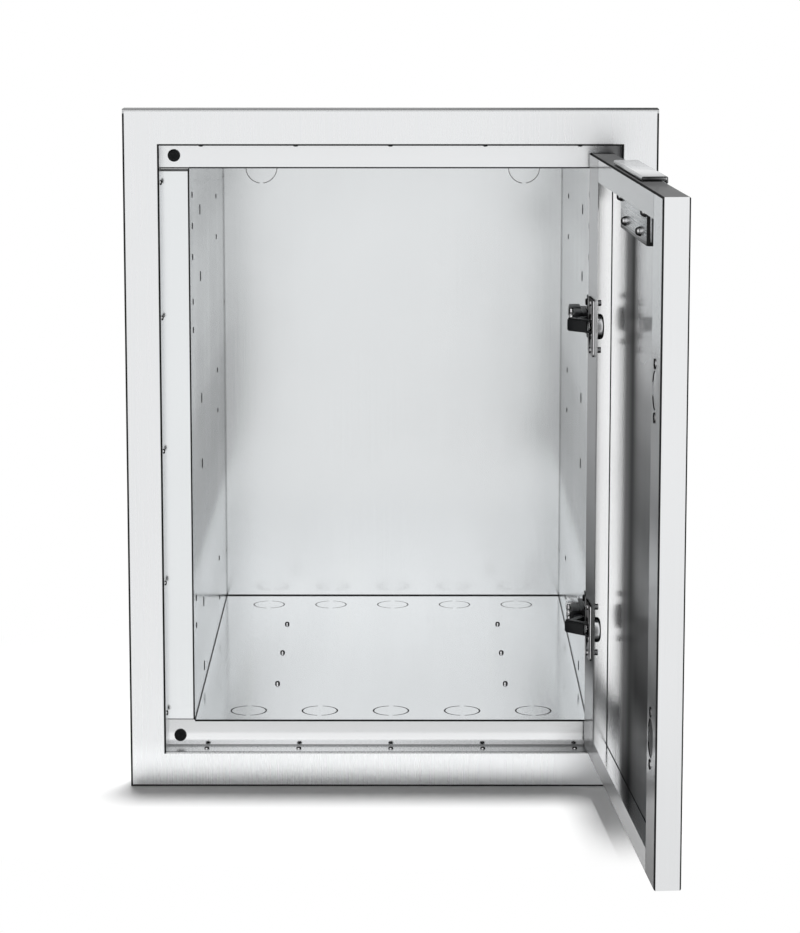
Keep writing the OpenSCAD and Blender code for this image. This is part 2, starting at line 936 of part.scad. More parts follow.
// Slotted wheel on the arm's inner face
module arm_adjusters() {
    color(steel)
        from_stop()
            for (z = hinge_levels)
                translate([arm_x - arm_t, fixing_column_y, z])
                    rotate([0, -90, 0])
                        difference() {
                            cylinder(r = adjuster_d / 2, h = adjuster_t);
                            translate([0, 0, adjuster_t])
                                cube([1.6, adjuster_d * 0.6, 2], center = true);
                        }
}

// Flat bar with round ends, from the origin to x = len
module link_bar(len, r, low, high) {
    for (x = [0, len])
        bar_z([x, 0, low], r, high - low);
    block([0, -r, low], [len, r, high]);
}

// First link, from the arm's tongue to the elbow
module inner_link(z) {
    half = inner_link_half;
    slot = tongue_half + link_gap;
    fork = crank_len / 2;
    translate([arm_pivot[0], arm_pivot[1], z])
        rotate([0, 0, crank_angle + door_open]) {
            difference() {
                link_bar(crank_len, link_r, -half, half);
                block([-link_r - cut, -link_r - cut, -slot], [fork, link_r + cut, slot]);
                bar_z([crank_len, 0, -half - cut], pin_r + pin_play, 2 * half + 2 * cut);
            }
            bar_z([0, 0, -half], pin_r, 2 * half);
        }
}

module upper_inner_link() {
    color(steel_dark)
        from_stop()
            inner_link(hinge_levels[1]);
}

module lower_inner_link() {
    color(steel_dark)
        from_stop()
            inner_link(hinge_levels[0]);
}

// Second link, from the elbow to the cup: two plates on one pin, and a stub each
module outer_link(z) {
    low = outer_link_in;
    high = outer_link_half;
    translate([elbow[0], elbow[1], z])
        rotate([0, 0, -link_lean]) {
            link_bar(link_reach, outer_link_r, low, high);
            link_bar(link_reach, outer_link_r, -high, -low);
            bar_z([0, 0, -high], pin_r, 2 * high);
            bar_z([link_reach, 0, high - eps], pin_r, boss_in - high + 2.4);
            bar_z([link_reach, 0, -boss_in - 2.4], pin_r, boss_in - high + 2.4 + eps);
        }
}

module upper_outer_link() {
    color(steel_dark)
        from_stop()
            outer_link(hinge_levels[1]);
}

module lower_outer_link() {
    color(steel_dark)
        from_stop()
            outer_link(hinge_levels[0]);
}

// Cup and plate of a hinge, as on the closed door
module closed_cup(z) {
    boss_r = pin_r + cup_pivot_play + 1;
    boss_end = mouth_r + 0.5;
    difference() {
        union() {
            bar_y([cup_x, inner_y - cup_depth, z], cup_r, cup_depth + eps);
            translate([cup_x, inner_y + cup_plate_t, z])
                rotate([90, 0, 0])
                    linear_extrude(height = cup_plate_t)
                        round_rect(cup_plate_w, cup_plate_h, 5);
        }
        difference() {
            bar_y([cup_x, inner_y - cup_depth + cup_wall, z], mouth_r, cup_depth + cup_plate_t);
            for (s = [-1, 1])
                bar_z([cup_pivot[0], cup_pivot[1], z + (s > 0 ? boss_in : -boss_end)], boss_r,
                    boss_end - boss_in);
        }
        bar_z([cup_pivot[0], cup_pivot[1], z - boss_in - 2.8], pin_r + cup_pivot_play, 2 * boss_in + 5.6);
        for (s = [-1, 1])
            bar_y([cup_x, inner_y - cut, z + s * cup_screw_pitch / 2], screw_d / 2 + hole_play,
                cup_plate_t + 2 * cut);
    }
}

module upper_hinge_cup() {
    color(steel)
        from_stop()
            on_door()
                closed_cup(hinge_levels[1]);
}

module lower_hinge_cup() {
    color(steel)
        from_stop()
            on_door()
                closed_cup(hinge_levels[0]);
}

// Screws of both cups, each in a nut set in the rim
module cup_screws() {
    sleeve = rivet_d / 2 + sleeve_wall;
    reach = cup_plate_t + door_sheet + sleeve_reach;
    color(steel)
        from_stop()
            on_door()
                for (z = hinge_levels, s = [-1, 1])
                    translate([cup_x, inner_y + cup_plate_t, z + s * cup_screw_pitch / 2])
                        rotate([-90, 0, 0]) {
                            stud(screw_head_d / 2, screw_head_h, screw_d / 2, reach);
                            translate([0, 0, 0.4 - reach])
                                cylinder(r = sleeve, h = sleeve_reach - 0.4);
                        }
}

// Threaded nuts in the free rim, spare for hinges on the other side
module spare_cup_nuts() {
    reach = door_sheet + sleeve_reach;
    color(steel)
        from_stop()
            on_door()
                for (z = hinge_levels, s = [-1, 1])
                    translate([-cup_x, inner_y, z + s * cup_screw_pitch / 2])
                        rotate([-90, 0, 0])
                            difference() {
                                union() {
                                    cylinder(r = spare_flange_d / 2, h = spare_flange_h);
                                    translate([0, 0, -reach])
                                        cylinder(r = rivet_d / 2 + sleeve_wall, h = reach + eps);
                                }
                                translate([0, 0, -reach - cut])
                                    cylinder(r = screw_d / 2, h = reach + spare_flange_h + 2 * cut);
                            }
}

// Rounded block in the closed door's place, shrunk by a margin on every side
module door_block(m) {
    r = door_bend - m;
    w = door_w - 2 * m;
    h = door_h - 2 * m;
    t = door_t - 2 * m;
    mid_y = (inner_y + outer_y) / 2;
    mid_z = (door_low + door_high) / 2;
    translate([0, mid_y, mid_z])
        intersection() {
            linear_extrude(height = h, center = true)
                round_rect(w, t, r);
            rotate([90, 0, 90])
                linear_extrude(height = w, center = true)
                    round_rect(t, h, r);
        }
}

// Window between the door's rims, seen from the inside
window_x = [-door_x + free_rim, door_x - hinge_rim];
window_z = [door_low + cross_rim, door_high - cross_rim];

// Oval hole in a rim for a hinge cup
module cup_hole(x, z) {
    half = (cup_hole_h - cup_hole_w) / 2;
    for (s = [-1, 1])
        bar_y([x, inner_y - door_sheet - cut, z + s * half], cup_hole_w / 2, door_sheet + 2 * cut);
    block([x - cup_hole_w / 2, inner_y - door_sheet - cut, z - half],
        [x + cup_hole_w / 2, inner_y + cut, z + half]);
}

module door_pan() {
    rim_low = inner_y - door_sheet - cut;
    slot_half = leg_half + 1.5;
    nut_hole = rivet_d / 2 + sleeve_wall + hole_play;
    color(steel)
        from_stop()
            on_door()
                difference() {
                    door_block(0);
                    door_block(door_sheet);
                    block([window_x[0], rim_low, window_z[0]], [window_x[1], inner_y + cut, window_z[1]]);
                    for (x = window_x, z = [door_low + door_bend, window_z[1] - cut])
                        block([x - rim_seam / 2, rim_low, z],
                            [x + rim_seam / 2, inner_y + cut, z + cross_rim - door_bend + cut]);
                    for (x = [cup_x, -cup_x], z = hinge_levels)
                        cup_hole(x, z);
                    for (z = hinge_levels, s = [-1, 1]) {
                        bar_y([cup_x, rim_low, z + s * cup_screw_pitch / 2], screw_d / 2 + hole_play,
                            door_sheet + 2 * cut);
                        bar_y([-cup_x, rim_low, z + s * cup_screw_pitch / 2], nut_hole,
                            door_sheet + 2 * cut);
                    }
                    block([-slot_half, leg_y - pull_sheet - 0.4, door_high - door_sheet - cut],
                        [slot_half, leg_y + 0.4, door_high + cut]);
                }
}

// Section of the pull across the door: x back to front, y up
module pull_section() {
    r = pull_t / 2;
    translate([r, r])
        circle(r = r);
    translate([r, 0])
        square([pull_w - 2 * r, pull_t]);
    translate([pull_w - r, r])
        circle(r = r);
    translate([pull_w - 2, pull_t - pull_lip])
        square([2, pull_lip - r]);
}

module pull_handle() {
    color(steel)
        from_stop()
            on_door() {
                translate([-pull_len / 2, pull_back, pull_low])
                    rotate([90, 0, 90])
                        linear_extrude(height = pull_len)
                            mirror([1, 0])
                                pull_section();
                difference() {
                    block([-leg_half, leg_y - pull_sheet, bracket_high - bracket_h + 4],
                        [leg_half, leg_y, pull_low + eps]);
                    for (p = nut_places)
                        bar_y([p[0], leg_y - pull_sheet - cut, p[1]], nut_stud_d / 2 + hole_play,
                            pull_sheet + 2 * cut);
                }
            }
}

// Tray that holds the pull's leg off the door's skin
module pull_bracket() {
    half = bracket_len / 2;
    low = bracket_high - bracket_h;
    color(steel)
        from_stop()
            on_door()
                difference() {
                    union() {
                        block([-half, bracket_y - door_sheet, low], [half, bracket_y, bracket_high]);
                        for (s = [-1, 1])
                            translate([s * (half - door_sheet / 2), 0, 0])
                                block([-door_sheet / 2, skin_y, low],
                                    [door_sheet / 2, bracket_y, bracket_high - 2]);
                    }
                    for (p = nut_places)
                        bar_y([p[0], bracket_y - door_sheet - cut, p[1]], nut_stud_d / 2 + hole_play,
                            door_sheet + 2 * cut);
                }
}

// Cap nuts on the studs that stand on the door's skin
module pull_cap_nuts() {
    color(steel)
        from_stop()
            on_door()
                for (p = nut_places) {
                    bar_y([p[0], skin_y, p[1]], nut_stud_d / 2, bracket_y - skin_y + eps);
                    translate([p[0], bracket_y, p[1]])
                        rotate([-90, 0, 0]) {
                            cylinder(r = nut_d / 2, h = nut_flange_h);
                            translate([0, 0, nut_flange_h - eps])
                                dome(nut_d / 2 - 0.4, nut_dome_h);
                        }
                }
}

face_frame();
floor_panel();
top_panel();
left_side_panel();
right_side_panel();
back_panel();
left_stiffener();
right_stiffener();
stiffener_rivets();
frame_screws();
seam_rivets();
back_rivets();
door_bumpers();
upper_hinge_plate();
lower_hinge_plate();
hinge_plate_screws();
upper_hinge_arm();
lower_hinge_arm();
arm_adjusters();
upper_inner_link();
lower_inner_link();
upper_outer_link();
lower_outer_link();
door_pan();
pull_handle();
pull_bracket();
pull_cap_nuts();
upper_hinge_cup();
lower_hinge_cup();
cup_screws();
spare_cup_nuts();
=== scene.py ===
"""Looks of a built-in outdoor kitchen cabinet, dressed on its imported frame."""

import json
import logging
import math
from dataclasses import dataclass, field
from enum import Enum
from typing import Any, Mapping, Optional, Sequence, Union

import bmesh
import bpy
from mathutils import Matrix, Vector

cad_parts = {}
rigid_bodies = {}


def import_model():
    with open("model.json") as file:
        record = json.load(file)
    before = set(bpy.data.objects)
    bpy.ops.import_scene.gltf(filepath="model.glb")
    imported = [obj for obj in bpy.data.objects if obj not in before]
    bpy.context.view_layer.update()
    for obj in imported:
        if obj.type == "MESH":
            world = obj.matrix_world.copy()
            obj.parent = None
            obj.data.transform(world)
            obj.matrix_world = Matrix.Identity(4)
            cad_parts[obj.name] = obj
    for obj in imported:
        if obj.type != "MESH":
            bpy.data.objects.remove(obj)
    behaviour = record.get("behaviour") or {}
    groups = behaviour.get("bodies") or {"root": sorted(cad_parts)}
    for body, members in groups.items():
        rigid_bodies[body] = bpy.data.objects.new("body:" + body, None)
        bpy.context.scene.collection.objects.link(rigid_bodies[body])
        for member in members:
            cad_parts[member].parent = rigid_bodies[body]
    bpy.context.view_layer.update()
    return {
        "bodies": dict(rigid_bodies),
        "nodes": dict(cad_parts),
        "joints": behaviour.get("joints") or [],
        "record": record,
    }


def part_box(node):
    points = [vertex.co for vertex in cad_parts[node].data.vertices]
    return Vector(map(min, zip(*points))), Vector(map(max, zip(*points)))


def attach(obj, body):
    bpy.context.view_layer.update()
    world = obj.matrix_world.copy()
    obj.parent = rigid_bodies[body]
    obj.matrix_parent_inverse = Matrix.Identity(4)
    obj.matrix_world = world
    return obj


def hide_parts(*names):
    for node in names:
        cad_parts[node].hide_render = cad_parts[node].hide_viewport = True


LOG = logging.getLogger("cabinet")
MM = 0.001
MERGE = 1e-4
SHARP_FOLD = math.radians(35.0)
SMOOTH_FOLD = math.radians(50.0)
Colour = tuple[float, float, float]
Greys = tuple[float, ...]
Point = tuple[float, float]
Value = Union["Amount", float]


class Body(Enum):
    """The main bodies that a piece can ride on, beside the hinges' links."""

    CABINET = "cabinet"
    DOOR = "door"


class Grain(Enum):
    """The axis that the brushing of a sheet runs along, with its noise scale per metre."""

    ALONG_X = (5.0, 700.0, 700.0)
    ALONG_Y = (700.0, 5.0, 700.0)
    ALONG_Z = (700.0, 700.0, 5.0)


class Way(Enum):
    """A way that a surface can face: the number of its axis, and the sign along it."""

    RIGHT = (0, 1.0)
    LEFT = (0, -1.0)
    INWARD = (1, 1.0)
    OUTWARD = (1, -1.0)
    UP = (2, 1.0)


class Amount:
    """A value in a node tree, which Python's operators turn into Math nodes."""

    def __init__(self, sheet: "NodeSheet", socket: bpy.types.NodeSocket) -> None:
        """Keeps the socket.

        Args:
            sheet: the tree that new nodes go into.
            socket: the output that holds the value.
        """
        self.sheet = sheet
        self.socket = socket

    def __add__(self, other: Value) -> "Amount":
        """Sum."""
        return self.sheet.math("ADD", self, other)

    def __radd__(self, other: float) -> "Amount":
        """Sum with a number on the left."""
        return self.sheet.math("ADD", other, self)

    def __sub__(self, other: Value) -> "Amount":
        """Difference."""
        return self.sheet.math("SUBTRACT", self, other)

    def __rsub__(self, other: float) -> "Amount":
        """Difference from a number on the left."""
        return self.sheet.math("SUBTRACT", other, self)

    def __mul__(self, other: Value) -> "Amount":
        """Product."""
        return self.sheet.math("MULTIPLY", self, other)

    def __rmul__(self, other: float) -> "Amount":
        """Product with a number on the left."""
        return self.sheet.math("MULTIPLY", other, self)

    def __truediv__(self, other: Value) -> "Amount":
        """Quotient."""
        return self.sheet.math("DIVIDE", self, other)

    def __pow__(self, other: Value) -> "Amount":
        """Power."""
        return self.sheet.math("POWER", self, other)

    def __abs__(self) -> "Amount":
        """Size without sign."""
        return self.sheet.math("ABSOLUTE", self)


class NodeSheet:
    """A node tree that is filled from nothing."""

    def __init__(self, tree: bpy.types.NodeTree) -> None:
        """Empties the tree.

        Args:
            tree: the tree of a material, a world or a modifier.
        """
        self.tree = tree
        self.tree.nodes.clear()

    def node(
        self,
        kind: str,
        settings: Optional[Mapping[str, Any]] = None,
        sockets: Optional[Mapping[Union[str, int], Any]] = None,
    ) -> bpy.types.Node:
        """Adds a node, sets it up, then fills its sockets.

        Args:
            kind: the node's type.
            settings: its properties; stops are a ramp's (place, grey) pairs.
            sockets: values or links, by input name or number.

        Returns:
            The node.
        """
        made = self.tree.nodes.new(kind)
        for name, value in (settings or {}).items():
            if name == "stops":
                ramp = made.color_ramp
                while len(ramp.elements) < len(value):
                    ramp.elements.new(1.0)
                for element, (place, grey) in zip(ramp.elements, value):
                    element.position = place
                    element.color = (grey, grey, grey, 1.0)
            else:
                setattr(made, name, value)
        for name, value in (sockets or {}).items():
            entry = made.inputs[name]
            if isinstance(value, Amount):
                self.tree.links.new(value.socket, entry)
            elif isinstance(value, bpy.types.NodeSocket):
                self.tree.links.new(value, entry)
            else:
                entry.default_value = value
        return made

    def math(self, operation: str, *values: Value) -> Amount:
        """Adds a Math node.

        Args:
            operation: the node's operation.
            values: its inputs, in order.

        Returns:
            The node's value.
        """
        made = self.node("ShaderNodeMath", {"operation": operation}, dict(enumerate(values)))
        return Amount(self, made.outputs[0])

    def axes(self, vector: bpy.types.NodeSocket) -> tuple[Amount, Amount, Amount]:
        """Splits a vector.

        Args:
            vector: the vector's socket.

        Returns:
            Its three values.
        """
        outputs = self.node("ShaderNodeSeparateXYZ", sockets={0: vector}).outputs
        return Amount(self, outputs[0]), Amount(self, outputs[1]), Amount(self, outputs[2])

    def fade(self, value: Amount, start: float, end: float) -> Amount:
        """A smooth step down from 1 to 0.

        Args:
            value: what is measured.
            start: where the step starts.
            end: where it ends.

        Returns:
            The step.
        """
        made = self.node(
            "ShaderNodeMapRange",
            {"interpolation_type": "SMOOTHSTEP"},
            {"Value": value, "From Min": start, "From Max": end, "To Min": 1.0, "To Max": 0.0},
        )
        return Amount(self, made.outputs[0])

    def within(self, value: Amount, half: float, soft: float) -> Amount:
        """A mask that is 1 near zero.

        Args:
            value: what is measured.
            half: how far from zero the mask stays 1.
            soft: how far beyond that it takes to fade.

        Returns:
            The mask.
        """
        return self.fade(abs(value), half, half + soft)

    def share(self, value: Amount) -> Amount:
        """The value, kept between 0 and 1."""
        return self.math("MINIMUM", self.math("MAXIMUM", value, 0.0), 1.0)

    def either(self, *masks: Amount) -> Amount:
        """The strongest of some masks.

        Args:
            masks: values from 0 to 1.

        Returns:
            Their maximum.
        """
        strongest = masks[0]
        for mask in masks[1:]:
            strongest = self.math("MAXIMUM", strongest, mask)
        return strongest


def blend(under: Value, over: Value, mask: Amount) -> Amount:
    """One value laid over another.

    Args:
        under: the value where the mask is 0.
        over: the value where it is 1.
        mask: from 0 to 1.

    Returns:
        The mix.
    """
    return under * (1.0 - mask) + mask * over


class ShaderSheet(NodeSheet):
    """The tree of one material, with what its patterns are drawn from.

    Its x, y and z are in millimetres, y from the stop plane. A piece on the door is
    patterned as it lies with the door closed.
    """

    flat: float = 0.9985
    turned: float = 0.975

    def __init__(self, name: str, layout: "Layout", body: Body = Body.CABINET) -> None:
        """Starts a material.

        Args:
            name: the material's name.
            layout: the shared sizes.
            body: what its pieces ride on.
        """
        self.layout = layout
        self.material = bpy.data.materials.new(name)
        self.material.use_nodes = True
        super().__init__(self.material.node_tree)
        source = self.node("ShaderNodeTexCoord").outputs
        self.place, facing = source["Object"], source["Normal"]
        if body is Body.DOOR:
            pole = layout.from_stop @ layout.pole
            closing = (0.0, 0.0, -layout.open_turn)
            centred = self.mapped(self.place, Location=-pole)
            self.place = self.mapped(self.mapped(centred, Rotation=closing), Location=pole)
            facing = self.mapped(facing, Rotation=closing)
        x, y, z = self.axes(self.place)
        self.x, self.y, self.z = x / MM, y / MM - layout.frame_deep / 2, z / MM
        self.facing = self.axes(facing)

    def mapped(self, vector: bpy.types.NodeSocket, **sockets: Sequence[float]) -> bpy.types.NodeSocket:
        """Moves, turns or scales a vector.

        Args:
            vector: the vector's socket.
            sockets: the Mapping node's values by name.

        Returns:
            The new vector's socket.
        """
        return self.node("ShaderNodeMapping", sockets={"Vector": vector, **sockets}).outputs[0]

    def noise(self, cells: Sequence[float], detail: float = 2.0, distortion: float = 0.0) -> Amount:
        """Smooth noise.

        Args:
            cells: cells per metre along each axis.
            detail: octaves.
            distortion: how far the noise bends itself.

        Returns:
            The noise, from about -0.5 to 0.5.
        """
        placed = self.mapped(self.place, Scale=tuple(cells))
        sockets = {"Vector": placed, "Scale": 1.0, "Detail": detail, "Distortion": distortion}
        made = self.node("ShaderNodeTexNoise", sockets=sockets)
        return Amount(self, made.outputs[0]) - 0.5

    def grade(self, value: Amount, low: float, high: float, greys: Sequence[float]) -> Amount:
        """Even steps of grey between two places, blended smoothly.

        Args:
            value: what is measured.
            low: where the first grey is.
            high: where the last one is.
            greys: the greys in order.

        Returns:
            The grey.
        """
        share = (value - low) / (high - low)
        steps = len(greys) - 1
        stops = [(index / steps, grey) for index, grey in enumerate(greys)]
        made = self.node("ShaderNodeValToRGB", {"stops": stops}, {0: share})
        made.color_ramp.interpolation = "EASE"
        return self.axes(made.outputs[0])[0]

    def faces(self, way: Way, slack: float = 0.1, soft: float = 0.1) -> Amount:
        """A mask of the surfaces that face one way.

        Args:
            way: the way.
            slack: how far off the surface's direction may be, as a share of 1.
            soft: how far beyond that the mask takes to fade.

        Returns:
            The mask.
        """
        axis, sign = way.value
        return self.within(self.facing[axis] - sign, slack, soft)

    def bent(self) -> Amount:
        """A mask of the faces that lie along none of the three axes.

        Returns:
            1 on a bend and 0 on the flat.
        """
        return self.fade(self.either(*(abs(axis) for axis in self.facing)), self.turned, self.flat)

    def metal(self, shade: Amount) -> Amount:
        """How metallic a patch is: dark ones less, so that they stay dark when seen at a slant.

        Args:
            shade: the patch's share of its tint.

        Returns:
            From 0 to 1.
        """
        return self.share(shade * 1.3 - 0.05)

    def tinted(self, tint: Colour, amount: Amount) -> bpy.types.NodeSocket:
        """A colour times an amount that changes over the surface.

        Args:
            tint: the colour.
            amount: the amount.

        Returns:
            The product.
        """
        made = self.node("ShaderNodeVectorMath", {"operation": "SCALE"}, {0: tint, "Scale": amount})
        return made.outputs[0]

    def finish(self, sockets: Mapping[str, Any], height: Amount) -> None:
        """Adds the shader and ends the tree.

        Args:
            sockets: the shader's values and links.
            height: a relief in metres.
        """
        relief = self.node("ShaderNodeBump", sockets={"Height": height, "Strength": 1.0, "Distance": 1.0})
        filled = {**sockets, "Normal": relief.outputs[0]}
        shader = self.node("ShaderNodeBsdfPrincipled", sockets=filled)
        self.node("ShaderNodeOutputMaterial", sockets={"Surface": shader.outputs[0]})


@dataclass(frozen=True)
class Layout:
    """Sizes in millimetres that the pieces and their patterns share, measured from the stop plane."""

    frame_half: float
    frame_high: float
    frame_deep: float
    open_half: float
    open_low: float
    open_high: float
    wall: float
    floor: float
    ceiling: float
    back: float
    hinge_levels: tuple[float, float]
    pole: Vector
    open_turn: float = math.radians(94.3)
    rail: float = 40.0
    stop: float = 31.0
    sheet: float = 1.2
    door_gap: float = 3.0
    door_top_gap: float = 8.5
    door_set: float = 4.0
    door_thick: float = 27.0
    hinge_rim: float = 70.0
    free_rim: float = 52.0
    cross_rim: float = 25.5
    knockout_wide: float = 40.0
    knockout_pitch: float = 81.5
    knockout_front: float = 39.5
    knockout_rear: float = 52.0
    knockout_span: float = 343.6
    knockout_drop: float = 53.0
    hinge_column: float = 41.0
    wall_plate_thick: float = 1.7
    wall_plate_pitch: float = 32.0
    cup_inset: float = 32.0
    cup_plate_thick: float = 1.6
    pull_setback: float = 3.7
    pull_width: float = 27.0
    bracket_set: float = 11.0
    bracket_drop: float = 6.5
    bracket_high: float = 58.0

    @classmethod
    def from_frame(cls, frame: Mapping[str, Any]) -> "Layout":
        """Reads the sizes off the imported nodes.


        Returns:
            The layout.
        """
        low, high = (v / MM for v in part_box("face_frame"))
        deep = high.y - low.y
        half = high.x - cls.rail
        levels = []
        for name in ("lower_hinge_arm", "upper_hinge_arm"):
            arm_low, arm_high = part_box(name)
            levels.append((arm_low.z + arm_high.z) / 2 / MM)
        swing = next(joint for joint in frame["joints"] if joint["name"] == "door_swing")
        pole = Vector(swing["pos_m"]) / MM
        return cls(
            frame_half=high.x,
            frame_high=high.z,
            frame_deep=deep,
            open_half=half,
            open_low=cls.rail,
            open_high=high.z - cls.rail,
            wall=half - cls.stop,
            floor=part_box("floor_panel")[1].z / MM,
            ceiling=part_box("top_panel")[0].z / MM,
            back=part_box("left_side_panel")[1].y / MM - deep / 2 + 0.1,
            hinge_levels=(levels[0], levels[1]),
            pole=Vector((pole.x, pole.y - deep / 2, 0.0)),
        )

    @property
    def from_stop(self) -> Matrix:
        """Millimetres from the stop plane to metres in the row's frame."""
        return Matrix.Scale(MM, 4) @ Matrix.Translation((0.0, self.frame_deep / 2, 0.0))

    @property
    def on_door(self) -> Matrix:
        """The closed door's place to the drawn one."""
        away = Matrix.Translation(self.pole)
        return away @ Matrix.Rotation(self.open_turn, 4, "Z") @ away.inverted()

    @property
    def door_half(self) -> float:
        """Half of the door's width."""
        return self.open_half - self.door_gap

    @property
    def door_low(self) -> float:
        """Height of the door's lower edge."""
        return self.open_low + self.door_gap

    @property
    def door_high(self) -> float:
        """Height of the door's upper edge."""
        return self.open_high - self.door_top_gap

    @property
    def door_inner(self) -> float:
        """The closed door's inner face."""
        return -self.door_set

    @property
    def door_outer(self) -> float:
        """The closed door's outer face."""
        return -self.door_set - self.door_thick

    @property
    def bracket_foot(self) -> float:
        """Height of the pull bracket's lower edge."""
        return self.door_high - self.bracket_drop - self.bracket_high


class Finish:
    """Something that a piece can be made of."""

    name: str
    body: Body = Body.CABINET

    def make(self, layout: Layout) -> bpy.types.Material:
        """Builds the material.

        Args:
            layout: the shared sizes.

        Returns:
            The material.
        """
        sheet = ShaderSheet(self.name, layout, self.body)
        self.draw(sheet)
        return sheet.material

    def draw(self, sheet: ShaderSheet) -> None:
        """Fills the material's tree.

        Args:
            sheet: the tree, with nothing but its coordinates.
        """
        raise NotImplementedError


@dataclass(frozen=True)
class BrushedSheet(Finish):
    """Folded stainless sheet: fine brushing, faint clouds, and painted shade on its bends."""

    name: str
    tint: Colour = (0.80, 0.81, 0.82)
    roughness: float = 0.26
    grain: Grain = Grain.ALONG_Z
    grain_share: float = 0.05
    cloud_share: float = 0.05
    bend_shade_grey: float = 0.025
    grain_roughness: float = 0.10
    cloud_roughness: float = 0.06
    grain_depth: float = 0.00001

    def light(self, sheet: ShaderSheet) -> Amount:
        """How bright the metal is from place to place, without its fine grain.

        Args:
            sheet: the tree.

        Returns:
            A share of the tint.
        """
        return 1.0 + sheet.noise((3.0, 3.0, 3.0), 3.0, 0.5) * self.cloud_share

    def lines(self, sheet: ShaderSheet) -> Amount:
        """Where dark lines run: here the painted shade on the bends; some kinds of sheet add seams.

        Args:
            sheet: the tree.

        Returns:
            A mask.
        """
        return sheet.bent()

    def draw(self, sheet: ShaderSheet) -> None:
        """Fills the tree: light and lines, which carry painted light and shade, into the colour; grain and
        clouds into the polish.

        Args:
            sheet: the tree.
        """
        grain = sheet.noise(self.grain.value)
        cloud = sheet.noise((7.0, 7.0, 7.0), 2.0)
        light = self.light(sheet) * (1.0 + grain * self.grain_share)
        # Painted shade on the bends and other dark lines, laid over the light.
        shade = blend(light, self.bend_shade_grey, self.lines(sheet))
        sockets = {
            "Base Color": sheet.tinted(self.tint, shade),
            "Metallic": sheet.metal(shade),
            "Roughness": self.roughness + grain * self.grain_roughness + cloud * self.cloud_roughness,
            "Specular IOR Level": 0.0,
        }
        sheet.finish(sockets, grain * self.grain_depth)


@dataclass(frozen=True)
class FaceFinish(BrushedSheet):
    """The face frame: a top in painted shade that darkens to the right, and a grey of painted shade for each
    return of its mouth.
    """

    # Greys of painted shade: the top from left to right, and the upward faces at the mouth's foot.
    top_shade_greys: Greys = (0.26, 0.26, 0.07)
    foot_shade_greys: Greys = (0.68, 0.9, 0.68, 0.35)
    # Painted shade on the mouth's two side returns.
    left_return_shade: float = 0.85
    right_return_shade: float = 0.22
    # Painted light that brightens the face near its foot.
    foot_light_lift: float = 0.13
    lift_high: float = 28.0
    lift_fade: float = 30.0
    soft_bend_share: float = 0.65

    def light(self, sheet: ShaderSheet) -> Amount:
        """The plain face with painted light near its foot; the top and the three returns round the mouth that
        show, each in painted shade.

        Args:
            sheet: the frame's tree.

        Returns:
            A share of the tint.
        """
        size = sheet.layout
        half = size.frame_half
        lift = sheet.within(sheet.z, self.lift_high, self.lift_fade) * self.foot_light_lift
        plain = super().light(sheet) * (1.0 + lift)
        outside = sheet.within(sheet.z - size.frame_high, 5.0, 1.0)
        top_shade_grey = sheet.grade(sheet.x, -half, half, self.top_shade_greys)
        foot_shade_grey = sheet.grade(sheet.x, -half, half, self.foot_shade_greys)
        mouth = sheet.within(sheet.x, half * 0.9, 1.0)
        light = blend(plain, blend(foot_shade_grey, top_shade_grey, outside), sheet.faces(Way.UP, 0.2))
        light = blend(light, self.left_return_shade, sheet.faces(Way.RIGHT, 0.2) * mouth)
        return blend(light, self.right_return_shade, sheet.faces(Way.LEFT, 0.2) * mouth)

    def lines(self, sheet: ShaderSheet) -> Amount:
        """Painted shade on the bends, paler along the frame's outer top edge and the foot of the mouth.

        Args:
            sheet: the frame's tree.

        Returns:
            A mask.
        """
        size = sheet.layout
        mouth = sheet.within(sheet.x, size.open_half - 0.5, 1.0)
        top = sheet.within(sheet.z - size.frame_high, 4.0, 1.0)
        foot = sheet.within(sheet.z - size.open_low, 3.0, 1.0) * mouth
        return sheet.bent() * (1.0 - sheet.either(top, foot) * self.soft_bend_share)


@dataclass(frozen=True)
class WallFinish(BrushedSheet):
    """A side wall in painted shade by height, its stop flange and the seams against its neighbours."""

    # Greys of painted shade on the inner wall, from the floor up to the ceiling.
    heights: Greys = (1.1, 0.90, 1.0, 0.62, 0.58, 0.60, 0.71, 0.76, 0.77, 0.70, 0.72)
    outside_grey: float = 0.92
    flange_grey: float = 1.04
    streak_share: float = 0.14
    stop_shadow: float = 2.8
    outer_bend_share: float = 0.8

    def light(self, sheet: ShaderSheet) -> Amount:
        """The inner wall in painted shade by its height, plain on its outer side, and the flange as bright as
        the frame.

        Args:
            sheet: the wall's tree.

        Returns:
            A share of the tint.
        """
        size = sheet.layout
        inside = sheet.math("LESS_THAN", sheet.facing[0] * sheet.x, 0.0)
        wall = sheet.grade(sheet.z, size.floor, size.ceiling, self.heights)
        streak = 1.0 + sheet.noise((1.0, 20.0, 1.2), 3.0) * self.streak_share
        wall = blend(self.outside_grey, wall, inside) * streak
        return super().light(sheet) * blend(wall, self.flange_grey, sheet.within(sheet.y, 3.0, 1.0))

    def lines(self, sheet: ShaderSheet) -> Amount:
        """Painted shade on the bends, the painted shadow under the header, and the seams with the back and
        the floor.

        Args:
            sheet: the wall's tree.

        Returns:
            A mask.
        """
        size = sheet.layout
        back = sheet.within(sheet.y - size.back, 1.2, 1.2) * 0.35
        foot = sheet.within(sheet.z - size.floor, 1.0, 1.2) * 0.8
        front = sheet.within(sheet.y, 3.0, 1.0)
        head = sheet.within(sheet.z - size.ceiling, self.stop_shadow, 0.6) * front * 0.85
        outer = sheet.within(abs(sheet.x) - size.open_half, 5.0, 1.0)
        return sheet.either(sheet.bent() * (1.0 - outer * self.outer_bend_share), back, foot, head)


